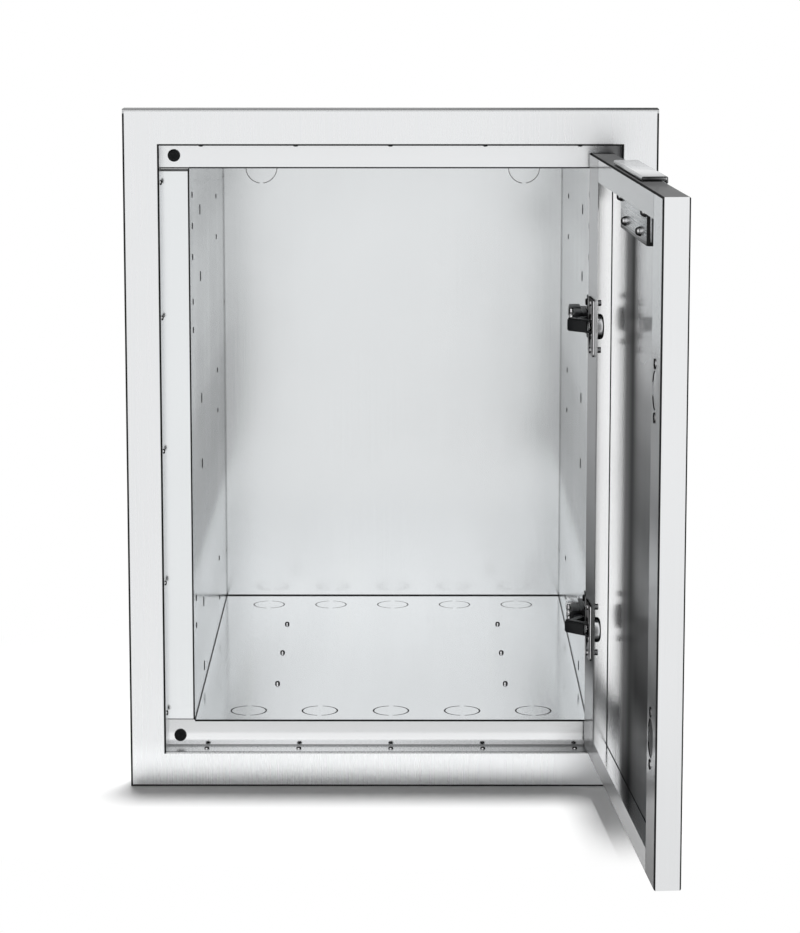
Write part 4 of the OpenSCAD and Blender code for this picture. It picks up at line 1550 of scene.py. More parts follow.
class RepeatTree:
    """A node tree that puts one shape on every point of a mesh, along the point's aim."""

    def __init__(self, name: str, sizes: Sequence[str]) -> None:
        """Starts the tree and names its inputs.

        Args:
            name: the tree's name.
            sizes: the names of its number inputs.
        """
        self.group = bpy.data.node_groups.new(name, "GeometryNodeTree")
        side = self.group.interface
        side.new_socket("Points", in_out="INPUT", socket_type="NodeSocketGeometry")
        for size in sizes:
            side.new_socket(size, in_out="INPUT", socket_type="NodeSocketFloat")
        side.new_socket("Sides", in_out="INPUT", socket_type="NodeSocketInt")
        side.new_socket("Finish", in_out="INPUT", socket_type="NodeSocketMaterial")
        side.new_socket("Pieces", in_out="OUTPUT", socket_type="NodeSocketGeometry")
        self.sheet = NodeSheet(self.group)
        self.entry = self.sheet.node("NodeGroupInput").outputs

    def size(self, name: str) -> Amount:
        """One of the tree's number inputs.

        Args:
            name: its name.

        Returns:
            Its value.
        """
        return Amount(self.sheet, self.entry[name])

    def close(self, shape: bpy.types.NodeSocket) -> None:
        """Ends the tree: the shape on every point, realized, smoothed and finished.

        Args:
            shape: the geometry to repeat.
        """
        sheet = self.sheet
        aim = sheet.node("GeometryNodeInputNamedAttribute", {"data_type": "FLOAT_VECTOR"}, {"Name": "aim"})
        turn = sheet.node("FunctionNodeAlignRotationToVector", {"axis": "Z"}, {"Vector": aim.outputs[0]})
        placed = sheet.node(
            "GeometryNodeInstanceOnPoints",
            sockets={"Points": self.entry["Points"], "Instance": shape, "Rotation": turn.outputs[0]},
        )
        real = sheet.node("GeometryNodeRealizeInstances", sockets={0: placed.outputs[0]})
        angle = sheet.node("GeometryNodeInputMeshEdgeAngle")
        gentle = sheet.math("LESS_THAN", Amount(sheet, angle.outputs[0]), SMOOTH_FOLD)
        smooth = sheet.node(
            "GeometryNodeSetShadeSmooth", {"domain": "EDGE"}, {0: real.outputs[0], "Shade Smooth": gentle}
        )
        made = sheet.node(
            "GeometryNodeSetMaterial", sockets={0: smooth.outputs[0], "Material": self.entry["Finish"]}
        )
        sheet.node("NodeGroupOutput", sockets={"Pieces": made.outputs[0]})

    def run(
        self,
        name: str,
        places: Sequence[tuple[Vector, Vector]],
        shape: Union[Head, Hole],
        material: bpy.types.Material,
    ) -> bpy.types.Object:
        """Runs the tree on a row of points and keeps the result as a plain mesh.

        Args:
            name: the piece's name.
            places: each point and its aim, in metres.
            shape: what is repeated, in millimetres.
            material: its material.

        Returns:
            The piece.
        """
        values = {**shape.sizes(), "Sides": shape.sides, "Finish": material}
        points = bpy.data.meshes.new(name + " points")
        points.from_pydata([place for place, _ in places], [], [])
        aims = points.attributes.new("aim", "FLOAT_VECTOR", "POINT")
        aims.data.foreach_set("vector", [v for _, aim in places for v in aim])
        carrier = put(name + " points", points)
        modifier = carrier.modifiers.new("repeat", "NODES")
        modifier.node_group = self.group
        for item in self.group.interface.items_tree:
            if item.in_out == "INPUT" and item.name in values:
                modifier[item.identifier] = values[item.name]
        drawn = carrier.evaluated_get(bpy.context.evaluated_depsgraph_get())
        mesh = bpy.data.meshes.new_from_object(drawn)
        mesh.name = name
        carrier.modifiers.remove(modifier)
        bpy.data.objects.remove(carrier)
        return put(name, mesh)


class HeadTree(RepeatTree):
    """Round fastener heads, each a polar grid drawn to its profile, with painted shade stored as its shadow.
    """

    rows: int = 20
    crown_row: int = 10
    flange_row: int = 12
    side_row: int = 14
    under_row: int = 15
    shank_row: int = 19
    # Where the painted shade round the crown's rim starts, and how soon it is full.
    rim_start: float = 0.27
    rim_fade: float = 0.16
    recess_depth: float = 0.7
    recess_length: float = 3.8
    recess_reach: float = 0.4

    def __init__(self) -> None:
        """Builds the tree."""
        sizes = (
            "Crown radius", "Crown height", "Crown fullness", "Flange radius", "Flange height",
            "Shank radius", "Shank length", "Recess width",
        )
        super().__init__("round fastener heads", sizes)
        sheet = self.sheet
        columns = sheet.math("ADD", Amount(sheet, self.entry["Sides"]), 1.0)
        grid = sheet.node(
            "GeometryNodeMeshGrid",
            sockets={"Size X": 1.0, "Size Y": 1.0, "Vertices X": columns, "Vertices Y": self.rows + 1},
        )
        x, y, _ = sheet.axes(sheet.node("GeometryNodeInputPosition").outputs[0])
        down = y + 0.5
        around = x * (-2.0 * math.pi)
        reach, height = self.profile(down)
        across, along = reach * sheet.math("COSINE", around), reach * sheet.math("SINE", around)
        slot = self.recess(across, along, down)
        height = height - slot * self.size("Crown height") * self.recess_depth
        point = sheet.node("ShaderNodeCombineXYZ", sockets={0: across, 1: along, 2: height})
        drawn = sheet.node(
            "GeometryNodeSetPosition", sockets={0: grid.outputs[0], "Position": point.outputs[0]}
        )
        # Painted shade on the crown's outer part and in the recess, kept as the shadow attribute.
        rim = 1.0 - sheet.within(down, self.rim_start, self.rim_fade)
        kept = sheet.node(
            "GeometryNodeStoreNamedAttribute",
            {"data_type": "FLOAT", "domain": "POINT"},
            {0: drawn.outputs[0], "Name": "shadow", "Value": sheet.either(rim, slot)},
        )
        merged = sheet.node("GeometryNodeMergeByDistance", sockets={0: kept.outputs[0], "Distance": 2e-6})
        self.close(merged.outputs[0])

    def stage(self, down: Amount, start: int, end: int) -> Amount:
        """How far the profile has come through one of its stages.

        Args:
            down: the share of the whole profile.
            start: the row where the stage starts.
            end: the row where it ends.

        Returns:
            From 0 to 1.
        """
        return self.sheet.share((down * self.rows - start) / (end - start))

    def profile(self, down: Amount) -> tuple[Amount, Amount]:
        """Radius and height along the profile: crown, flange, underside and shank.

        Args:
            down: the share of the whole profile.

        Returns:
            The radius and the height, in metres.
        """
        sheet = self.sheet
        crown, flange = self.size("Crown radius"), self.size("Flange radius")
        shank, top = self.size("Shank radius"), self.size("Flange height")
        lean = self.stage(down, 0, self.crown_row) * (math.pi / 2)
        fullness = self.size("Crown fullness")
        out = sheet.math("MAXIMUM", sheet.math("SINE", lean), 0.0) ** fullness
        up = sheet.math("MAXIMUM", sheet.math("COSINE", lean), 0.0) ** fullness
        reach = crown * out + (flange - crown) * self.stage(down, self.crown_row, self.flange_row)
        reach = reach - (flange - shank) * self.stage(down, self.side_row, self.under_row)
        reach = reach - shank * self.stage(down, self.shank_row, self.rows)
        height = top + self.size("Crown height") * up
        height = height - top * self.stage(down, self.flange_row, self.side_row)
        return reach, height - self.size("Shank length") * self.stage(down, self.under_row, self.shank_row)

    def recess(self, across: Amount, along: Amount, down: Amount) -> Amount:
        """The cross recess in the crown.

        Args:
            across: the distance from the middle along X.
            along: the distance from the middle along Y.
            down: the share of the whole profile.

        Returns:
            A mask.
        """
        sheet = self.sheet
        width = self.size("Recess width")
        arms = []
        for short, long in ((across, along), (along, across)):
            narrow = sheet.math("LESS_THAN", abs(short), width * 0.5)
            arms.append(narrow * sheet.math("LESS_THAN", abs(long), width * (self.recess_length / 2)))
        return sheet.either(*arms) * sheet.math("LESS_THAN", down, self.recess_reach)


class RimTree(RepeatTree):
    """Pressed rims round slots and holes: a round wire on a stretched circle."""

    def __init__(self) -> None:
        """Builds the tree."""
        super().__init__("pressed hole rims", ("Hole width", "Hole length", "Wire radius"))
        sheet = self.sheet
        wire = self.size("Wire radius")
        ring, section = (
            sheet.node("GeometryNodeCurvePrimitiveCircle", {"mode": "RADIUS"}, sockets)
            for sockets in (
                {"Resolution": self.entry["Sides"], "Radius": 0.5},
                {"Resolution": 6, "Radius": wire},
            )
        )
        long, wide = self.size("Hole length") + wire * 2.0, self.size("Hole width") + wire * 2.0
        scale = sheet.node("ShaderNodeCombineXYZ", sockets={0: long, 1: wide, 2: 1.0})
        oval = sheet.node("GeometryNodeTransform", sockets={0: ring.outputs[0], "Scale": scale.outputs[0]})
        swept = sheet.node(
            "GeometryNodeCurveToMesh", sockets={"Curve": oval.outputs[0], "Profile Curve": section.outputs[0]}
        )
        self.close(swept.outputs[0])


@dataclass
class Workshop:
    """What every sub-assembly needs: the frame, the sizes, and the finishes made so far."""

    nodes: Mapping[str, bpy.types.Object]
    layout: Layout
    finishes: dict[str, bpy.types.Material] = field(default_factory=dict)
    heads: HeadTree = field(default_factory=HeadTree)
    rims: RimTree = field(default_factory=RimTree)

    def material(self, finish: Finish) -> bpy.types.Material:
        """The finish's material, made once.

        Args:
            finish: the finish.

        Returns:
            Its material.
        """
        if finish.name not in self.finishes:
            self.finishes[finish.name] = finish.make(self.layout)
        return self.finishes[finish.name]

    def dress(self, finish: Finish, *names: str) -> None:
        """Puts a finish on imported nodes.

        Args:
            finish: the finish.
            names: the nodes.
        """
        for name in names:
            mesh = self.nodes[name].data
            mesh.materials.clear()
            mesh.materials.append(self.material(finish))
            LOG.info("dressed %s in %s", name, finish.name)

    def hand_over(self, piece: bpy.types.Object, body: str, slot: str, *nodes: str) -> None:
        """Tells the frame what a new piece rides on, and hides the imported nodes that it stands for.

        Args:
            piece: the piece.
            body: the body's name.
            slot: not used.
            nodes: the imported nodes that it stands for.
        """
        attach(piece, body)
        if nodes:
            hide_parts(*nodes)
        LOG.info("made %s on %s with %d faces", piece.name, body, len(piece.data.polygons))

    def place(self, body: str) -> Matrix:
        """Where a piece goes that is drawn in millimetres from the stop plane, with the door closed.

        Args:
            body: the body's name.

        Returns:
            Its placement in the row's frame, in metres.
        """
        from_stop = self.layout.from_stop
        return from_stop @ self.layout.on_door if body == Body.DOOR.value else from_stop

    def keep(self, work: Workpiece, name: str, finish: Finish, body: str, slot: str, *nodes: str) -> None:
        """Ends a mesh in the making and hands it over.

        Args:
            work: the mesh.
            name: the piece's name.
            finish: its finish.
            body: what it rides on.
            slot: the record's material slot.
            nodes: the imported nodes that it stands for.
        """
        piece = work.finish(name, self.place(body), self.material(finish))
        self.hand_over(piece, body, slot, *nodes)

    def row(
        self,
        name: str,
        seats: Sequence[tuple[Sequence[float], Sequence[float]]],
        shape: Union[Head, Hole],
        finish: Finish = HEAD_STEEL,
        body: Body = Body.CABINET,
        slot: str = "fastener_steel",
        nodes: Sequence[str] = (),
    ) -> None:
        """Makes a row of fasteners or of rims round holes.

        Args:
            name: the piece's name.
            seats: each seat and its aim, in millimetres from the stop plane, with the door closed.
            shape: the fastener or the hole.
            finish: its finish.
            body: what it rides on.
            slot: the record's material slot.
            nodes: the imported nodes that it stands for.
        """
        place = self.place(body.value)
        turn = place.to_3x3().normalized()
        places = [(place @ Vector(seat), turn @ Vector(aim)) for seat, aim in seats]
        tree = self.heads if isinstance(shape, Head) else self.rims
        piece = tree.run(name, places, shape, self.material(finish))
        self.hand_over(piece, body.value, slot, *nodes)


@dataclass
class FaceFrame:
    """The face frame and the screws in its recess."""

    shop: Workshop
    screw_row: float = 11.4
    pitch_across: float = 104.0
    pitch_up: float = 150.0
    screw: Head = Head(2.8, 1.9, 2.0, 4.8, crown=0.7)

    def build(self) -> None:
        """Dresses the frame and makes its screws."""
        self.shop.dress(FACE_STEEL, "face_frame")
        layout = self.shop.layout
        seats = []
        for step in range(-2, 3):
            across = step * self.pitch_across
            seats.append(((across, -self.screw_row, layout.open_low), (0, 0, 1)))
            seats.append(((across, -self.screw_row, layout.open_high), (0, 0, -1)))
            up = layout.frame_high / 2 + step * self.pitch_up
            seats.append(((-layout.open_half, -self.screw_row, up), (1, 0, 0)))
            seats.append(((layout.open_half, -self.screw_row, up), (-1, 0, 0)))
        self.shop.row("recess_screws", seats, self.screw, nodes=("frame_screws",))


@dataclass
class BoxShell:
    """The box behind the frame, with its rivets and the pressed rims of its holes.

    A row of outer rivets is given by the share of the panel where it starts and the next step.
    """

    shop: Workshop
    seam_flange: float = 15.0
    seam_line: float = 0.55
    edge_line: float = 0.45
    side_row: tuple[float, float] = (0.1, 0.26)
    edge_row: tuple[float, float] = (0.1, 0.266)
    back_reach: float = 0.72
    stiffener_span: float = 270.0
    stiffener_mid: float = 305.0
    rivet_pitch: float = 147.0
    slot_column: float = 165.0
    rear_column: float = 460.0
    slot_pair: float = 78.0
    rear_pair: float = 51.4
    slide_low: float = 59.5
    slide_mid: float = 303.5
    slide_top_drop: float = 101.0
    fixing_drop: float = 33.0
    fixing_pitch: float = 35.0
    slot: Hole = Hole(10.0, 4.5)
    rear_hole: Hole = Hole(4.5, 4.5)
    fixing_hole: Hole = Hole(5.2, 5.2)
    rivet: Head = Head(4.5, 2.2, 2.4, 2.6, crown=0.9)
    floor_rivet: Head = Head(2.9, 3.2, 2.4, 2.6, crown=0.75)
    edge_wire: float = 0.5
    edge_sides: int = 72

    def build(self) -> None:
        """Dresses the panels and makes rivets and rims."""
        shop = self.shop
        shop.dress(WALL_STEEL, "left_side_panel", "right_side_panel")
        shop.dress(FLOOR_STEEL, "floor_panel")
        shop.dress(BACK_STEEL, "back_panel")
        shop.dress(TOP_STEEL, "top_panel")
        shop.dress(PLAIN_STEEL, "left_stiffener", "right_stiffener")
        self.floor_rivets()
        self.outer_rivets()
        self.hole_rims()
        self.knockout_edges()

    def floor_rivets(self) -> None:
        """The six rivets that hold the stiffeners."""
        alongs = [self.stiffener_mid + step * self.rivet_pitch for step in (-1, 0, 1)]
        columns = paired((0.0,), self.stiffener_span)
        seats = [((x, along, self.shop.layout.floor), (0, 0, 1)) for x in columns for along in alongs]
        self.shop.row("stiffener_rivet_heads", seats, self.floor_rivet, nodes=("stiffener_rivets",))

    def outer_rivets(self) -> None:
        """The rivets of the seams, seen from outside."""
        layout = self.shop.layout
        seam = self.seam_flange * self.seam_line
        start, step = self.side_row
        edge_start, edge_step = self.edge_row
        sides, rears = [], []
        for level in (layout.floor - seam, layout.ceiling + seam):
            for count in range(4):
                along = layout.back * (start + count * step)
                for side in (-1, 1):
                    sides.append(((side * (layout.wall + layout.sheet), along, level), (side, 0, 0)))
            for count in (-1, 0, 1):
                across = count * layout.wall * self.back_reach
                rears.append(((across, layout.back + layout.sheet, level), (0, 1, 0)))
        flange = layout.wall + 2 * layout.sheet + 0.1
        along = layout.back - self.seam_flange * self.edge_line
        for count in range(4):
            level = layout.floor + (layout.ceiling - layout.floor) * (edge_start + count * edge_step)
            for side in (-1, 1):
                rears.append(((side * flange, along, level), (side, 0, 0)))
        self.shop.row("seam_rivet_heads", sides, self.rivet, OUTER_STEEL, nodes=("seam_rivets",))
        self.shop.row("back_rivet_heads", rears, self.rivet, OUTER_STEEL, nodes=("back_rivets",))

    def hole_rims(self) -> None:
        """The pressed rims of the slots, rear holes and fixing holes in both side walls, dark with painted
        shade of the holes.
        """
        layout = self.shop.layout
        slides = (
            layout.floor + self.slide_low,
            layout.floor + self.slide_mid,
            layout.ceiling - self.slide_top_drop,
        )
        fixings = [layout.ceiling - self.fixing_drop - step * self.fixing_pitch for step in range(3)]
        plates = paired(layout.hinge_levels, layout.wall_plate_pitch)
        kinds = (
            ("slide_slot_rims", self.slot_column, paired(slides, self.slot_pair), [], self.slot),
            ("slide_hole_rims", self.rear_column, paired(slides, self.rear_pair), [], self.rear_hole),
            ("fixing_hole_rims", layout.hinge_column, fixings, plates, self.fixing_hole),
        )
        for name, column, both, left, hole in kinds:
            seats = [((-layout.wall, column, level), (1, 0, 0)) for level in both + left]
            seats += [((layout.wall, column, level), (-1, 0, 0)) for level in both]
            self.shop.row(name, seats, hole, HOLE_RIM_SHADE, slot="box_sheet")

    def knockout_edges(self) -> None:
        """The cut edges of the knockouts, grey with painted shade of their slits, in two rows on the floor
        and in one on the back.
        """
        layout = self.shop.layout
        up, forward = (0, 0, 1), (0, -1, 0)
        round_hole = layout.knockout_wide - 2 * self.edge_wire
        hole = Hole(round_hole, round_hole, self.edge_wire, self.edge_sides)
        floor = layout.floor - layout.sheet / 2
        back = (layout.back + layout.sheet / 2, layout.ceiling - layout.knockout_drop)
        columns = [step * layout.knockout_pitch for step in range(-2, 3)]
        rows = (
            ("front_knockout_edges", CUT_EDGE_SHADE, up, columns, (layout.knockout_front, floor)),
            ("rear_knockout_edges", PALE_EDGE_SHADE, up, columns, (layout.back - layout.knockout_rear, floor)),
            ("back_knockout_edges", PALE_EDGE_SHADE, forward, paired((0.0,), layout.knockout_span), back),
        )
        for name, finish, aim, across, rest in rows:
            seats = [((x, *rest), aim) for x in across]
            self.shop.row(name, seats, hole, finish, slot="box_sheet")


@dataclass
class Bumpers:
    """Two rubber bumpers on the left stop flange, each with a shallow dish."""

    shop: Workshop
    radius: float = 7.0
    height: float = 3.7
    from_side: float = 14.5
    from_end: float = 12.5
    dish: float = 0.7
    stem: float = 2.8
    tail: float = 3.5

    def build(self) -> None:
        """Turns both bumpers."""
        layout = self.shop.layout
        work = Workpiece()
        profile = [(0.0, self.height - self.dish), (self.radius * 0.32, self.height - self.dish)]
        profile += [(self.radius * 0.45, self.height - 0.15), (self.radius * 0.55, self.height)]
        profile += arc((self.radius - 1.4, self.height - 1.0), 1.0, 90, 12, 6)
        profile += [(self.radius, 0.0), (self.stem, 0.0), (self.stem, -1.5), (self.stem * 1.4, -1.6)]
        profile += [(self.stem * 1.2, -self.tail), (0.0, -self.tail)]
        for level in (layout.open_low + self.from_end, layout.open_high - self.from_end):
            seat = (self.from_side - layout.open_half, 0.0, level)
            work.lathe(profile, laid(Lie.FRONT, seat))
        self.shop.keep(work, "bumpers", RUBBER, Body.CABINET.value, "bumper_rubber", "door_bumpers")


@dataclass
class Hinge:
    """One concealed hinge: wall plate, arm, two links and cup."""

    shop: Workshop
    name: str
    level: float
    cover: Finish
    wall_plate_high: float = 48.0
    wall_plate_wide: float = 16.0
    waist_high: float = 17.0
    waist_wide: float = 30.0
    waist_rise: float = 0.9
    arm_block: float = 7.0
    arm_thick: float = 11.0
    arm_high: float = 14.0
    arm_front: float = 16.0
    arm_length: float = 72.0
    arm_folds: tuple[float, float] = (1.2, 2.0)
    block_ends: tuple[float, float] = (4.0, 6.0)
    screw_setback: float = 6.0
    cover_start: float = 54.0
    cover_rise: float = 1.6
    cover_lap: float = 0.6
    lean: float = math.radians(41.0)
    reach: float = 31.0
    cup_radius: float = 14.0
    cup_depth: float = 12.0
    cup_wall: float = 1.0
    plate_wide: float = 42.0
    plate_high: float = 63.0
    pot_bends: tuple[float, float] = (3.2, 2.4)
    pivot_sink: float = 1.3
    pivot_shift: float = 1.0
    pin: float = 2.0
    link_half_width: float = 3.6
    link_sheet: float = 1.9
    tongue_half: float = 3.0
    link_gap: float = 0.2
    web_reach: float = 25.0
    web_gap: float = 0.4
    pin_end: float = 0.15
    stub: float = 3.2
    boss_wall: float = 1.25
    bore_gap: float = 0.25

    def __post_init__(self) -> None:
        """Works out the pivots, as the CAD model does."""
        layout = self.shop.layout
        self.side = self.name.split("_")[0]
        cup_x = layout.door_half - layout.cup_inset
        self.cup_seat = Vector((cup_x, layout.door_inner, self.level))
        self.cup_pivot = Vector((cup_x - self.pivot_shift, layout.door_inner - self.pivot_sink, self.level))
        pole = Vector((layout.pole.x, layout.pole.y, self.level))
        crank = self.cup_pivot - pole
        self.crank_length = crank.length
        self.crank_turn = math.atan2(crank.y, crank.x) + layout.open_turn
        away = Vector((math.cos(self.lean), -math.sin(self.lean), 0.0))
        self.arm_pivot = pole - away * self.reach
        along = Vector((math.cos(self.crank_turn), math.sin(self.crank_turn), 0.0))
        self.elbow = self.arm_pivot + self.crank_length * along
        self.arm_back = layout.wall - self.arm_block
        self.arm_face = self.arm_back - self.arm_thick

    def build(self) -> None:
        """Makes its pieces."""
        self.wall_plate()
        self.arm()
        self.arm_cover()
        self.inner_link()
        self.outer_link()
        self.cup()

    def wall_plate(self) -> None:
        """The winged plate on the side panel, with the waist that carries the arm."""
        layout = self.shop.layout
        work = Workpiece()
        half = layout.wall_plate_thick / 2
        flat = laid(Lie.WALL, (layout.wall - half, layout.hinge_column, self.level))
        wings = rounded(self.wall_plate_wide, self.wall_plate_high, 5.5)
        work.prism(wings, -half, half, flat, 0.3)
        waist = rounded(self.waist_wide, self.waist_high, 4.0)
        work.prism(waist, -half - self.waist_rise, half, flat, 0.4)
        body, node = Body.CABINET.value, f"{self.name}_plate"
        self.shop.keep(work, f"{self.name}_wall_plate", PLATE_STEEL, body, "hinge_steel", node)

    def arm(self) -> None:
        """The arm: a folded channel with the block against the wall, its tongue and a screw."""
        back, face, half, front = self.arm_back, self.arm_face, self.arm_high / 2, self.arm_front
        small, large = self.arm_folds
        work = Workpiece()
        section = [
            (back, -half + small), (back, half - small), (back - small, half), (face + large, half),
            (face, half - large), (face, -half + large), (face + large, -half), (back - small, -half),
        ]
        upright = laid(Lie.FRONT, (0, 0, self.level))
        work.prism(section, -self.cover_start - 1, -front, upright, 0.5)
        low = (back - 0.5, front + self.block_ends[0], self.level - half + 1)
        high = (self.shop.layout.wall, front + self.arm_length - self.block_ends[1], self.level + half - 1)
        work.block(low, high, edge=0.8)
        pivot = self.arm_pivot
        tongue = [
            (pivot.x - self.link_half_width, pivot.y), (pivot.x + self.link_half_width, pivot.y),
            (back - 0.2, front + 2), (face + 2, front + 2),
        ]
        level = Matrix.Translation((0, 0, self.level))
        for outline in (tongue, disc(self.link_half_width, 28, (pivot.x, pivot.y))):
            work.prism(outline, -self.tongue_half, self.tongue_half, level, 0.3)
        seat = laid(Lie.ROOM, (face, front + self.screw_setback, self.level))
        screw = [(0.0, 0.3), (1.6, 0.3), (1.9, 1.1), (3.4, 1.3), (3.9, 0.8), (4.0, -1.6), (0.0, -1.6)]
        work.lathe(screw, seat, 24)
        body, node = Body.CABINET.value, f"{self.name}_arm"
        self.shop.keep(work, f"{self.name}_arm_channel", BLACK_PAINT, body, "hinge_dark", node)

    def arm_cover(self) -> None:
        """The cover over the arm's rear, with its pressed tab and two small screws."""
        half = self.arm_high / 2
        face = self.arm_face - self.cover_rise
        work = Workpiece()
        low = (face, self.cover_start, self.level - half - self.cover_lap)
        high = (self.arm_back, self.arm_front + self.arm_length, self.level + half + self.cover_lap)
        work.block(low, high, edge=1.4)
        seat = (face - 0.6, self.cover_start + 17, self.level)
        work.prism(rounded(11.0, 7.0, 2.0), -0.6, 1.2, laid(Lie.WALL, seat), 0.4)
        for along in (9.0, 25.0):
            spot = (face, self.cover_start + along, self.level + half - 3.0)
            screw = [(0.0, 0.1), (1.2, 0.1), (1.5, 0.6), (2.2, 0.5), (2.4, -1.0), (0.0, -1.0)]
            work.lathe(screw, laid(Lie.ROOM, spot), 20)
        self.shop.keep(work, f"{self.name}_arm_cover", self.cover, Body.CABINET.value, "hinge_steel")

    def inner_link(self) -> None:
        """The first link: two cheeks on the arm's tongue, joined towards the elbow."""
        work = Workpiece()
        place = Matrix.Translation(self.arm_pivot) @ Matrix.Rotation(self.crank_turn, 4, "Z")
        low = self.tongue_half + self.link_gap
        high = low + self.link_sheet
        cheek = bar(self.crank_length, self.link_half_width)
        work.prism(cheek, low, high, place, 0.35)
        work.prism(cheek, -high, -low, place, 0.35)
        start, end, half = self.crank_length / 2 + 0.4, self.crank_length, self.link_half_width - 0.2
        web = [(start, -half), (end, -half), (end, half), (start, half)]
        for outline in (web, disc(half, 24, (end, 0))):
            work.prism(outline, -low - 0.2, low + 0.2, place)
        work.prism(disc(self.pin, 20), -high - self.pin_end, high + self.pin_end, place, self.pin_end)
        node = f"{self.side}_inner_link"
        self.shop.keep(work, f"{self.name}_first_link", LINK_STEEL, node, "hinge_dark", node)

    def outer_link(self) -> None:
        """The second link: two plates from the elbow to the cup with a web on one edge, and its pins."""
        work = Workpiece()
        place = Matrix.Translation(self.elbow) @ Matrix.Rotation(-self.lean, 4, "Z")
        low = self.tongue_half + 2 * self.link_gap + self.link_sheet
        high = low + self.link_sheet
        plate = bar(self.reach, self.link_half_width - 0.6)
        for side in (-1, 1):
            ends = sorted((side * low, side * high))
            work.prism(plate, ends[0], ends[1], place, 0.35)
            stub = sorted((side * (high - 0.3), side * (high + self.stub)))
            work.prism(disc(self.pin, 20, (self.reach, 0)), stub[0], stub[1], place, self.pin_end)
        foot = (-1.5, -self.link_half_width - 0.9, -low - self.web_gap)
        head = (self.web_reach, -self.link_half_width + 0.5, low + self.web_gap)
        work.block(foot, head, place, 0.2)
        work.prism(disc(self.pin, 20), -high - self.pin_end, high + self.pin_end, place, self.pin_end)
        node = f"{self.side}_outer_link"
        self.shop.keep(work, f"{self.name}_second_link", LINK_STEEL, node, "hinge_steel", node)

    def cup(self) -> None:
        """The cup: a plate with round corners and a round hole, and the pot under it."""
        thick = self.shop.layout.cup_plate_thick
        mouth = self.cup_radius - self.cup_wall
        rim = split_sides(rounded(self.plate_wide, self.plate_high, 5.0, 8), 3.0)
        turns = [math.atan2(y, x) for x, y in rim]
        hole = [(mouth * math.cos(turn), mouth * math.sin(turn)) for turn in turns]
        plate = Workpiece()
        flat = laid(Lie.FRONT, self.cup_seat + Vector((0.0, thick / 2, 0.0)))
        plate.prism(rim, -thick / 2, thick / 2, flat, 0.25, hole)
        self.shop.keep(plate, f"{self.name}_cup_plate", CUP_PLATE_STEEL, Body.DOOR.value, "hinge_steel")
        self.cup_shell(mouth, self.cup_depth + thick)

    def cup_shell(self, mouth: float, deep: float) -> None:
        """The round pot with a boss for each pin of the outer link.

        Args:
            mouth: the pot's inner radius.
            deep: its depth.
        """
        work = Workpiece()
        outer, inner_foot = self.cup_radius, deep - self.cup_wall
        large, small = self.pot_bends
        profile = [(mouth, -0.05), (outer, -0.05), (outer, deep - large)]
        profile += arc((outer - large, deep - large), large, 0, 90, 6)
        profile += [(0.0, deep), (0.0, inner_foot)]
        profile += arc((mouth - small, inner_foot - small), small, 90, 0, 5)
        profile += [(mouth, -0.05)]
        seat = self.cup_seat + Vector((0, self.shop.layout.cup_plate_thick, 0))
        work.lathe(profile, laid(Lie.FRONT, seat), 48)
        inside = self.tongue_half + 2 * self.link_gap + 2 * self.link_sheet + 0.8
        centre = (self.cup_pivot.x, self.cup_pivot.y)
        boss, bore = (disc(self.pin + gap, 24, centre) for gap in (self.boss_wall, self.bore_gap))
        for side in (-1, 1):
            ends = sorted((side * inside, side * (mouth + 0.4)))
            work.prism(boss, ends[0], ends[1], Matrix.Translation((0, 0, self.level)), 0.0, bore)
        body, node = Body.DOOR.value, f"{self.name}_cup"
        self.shop.keep(work, f"{self.name}_cup_shell", CUP_STEEL, body, "hinge_steel", node)


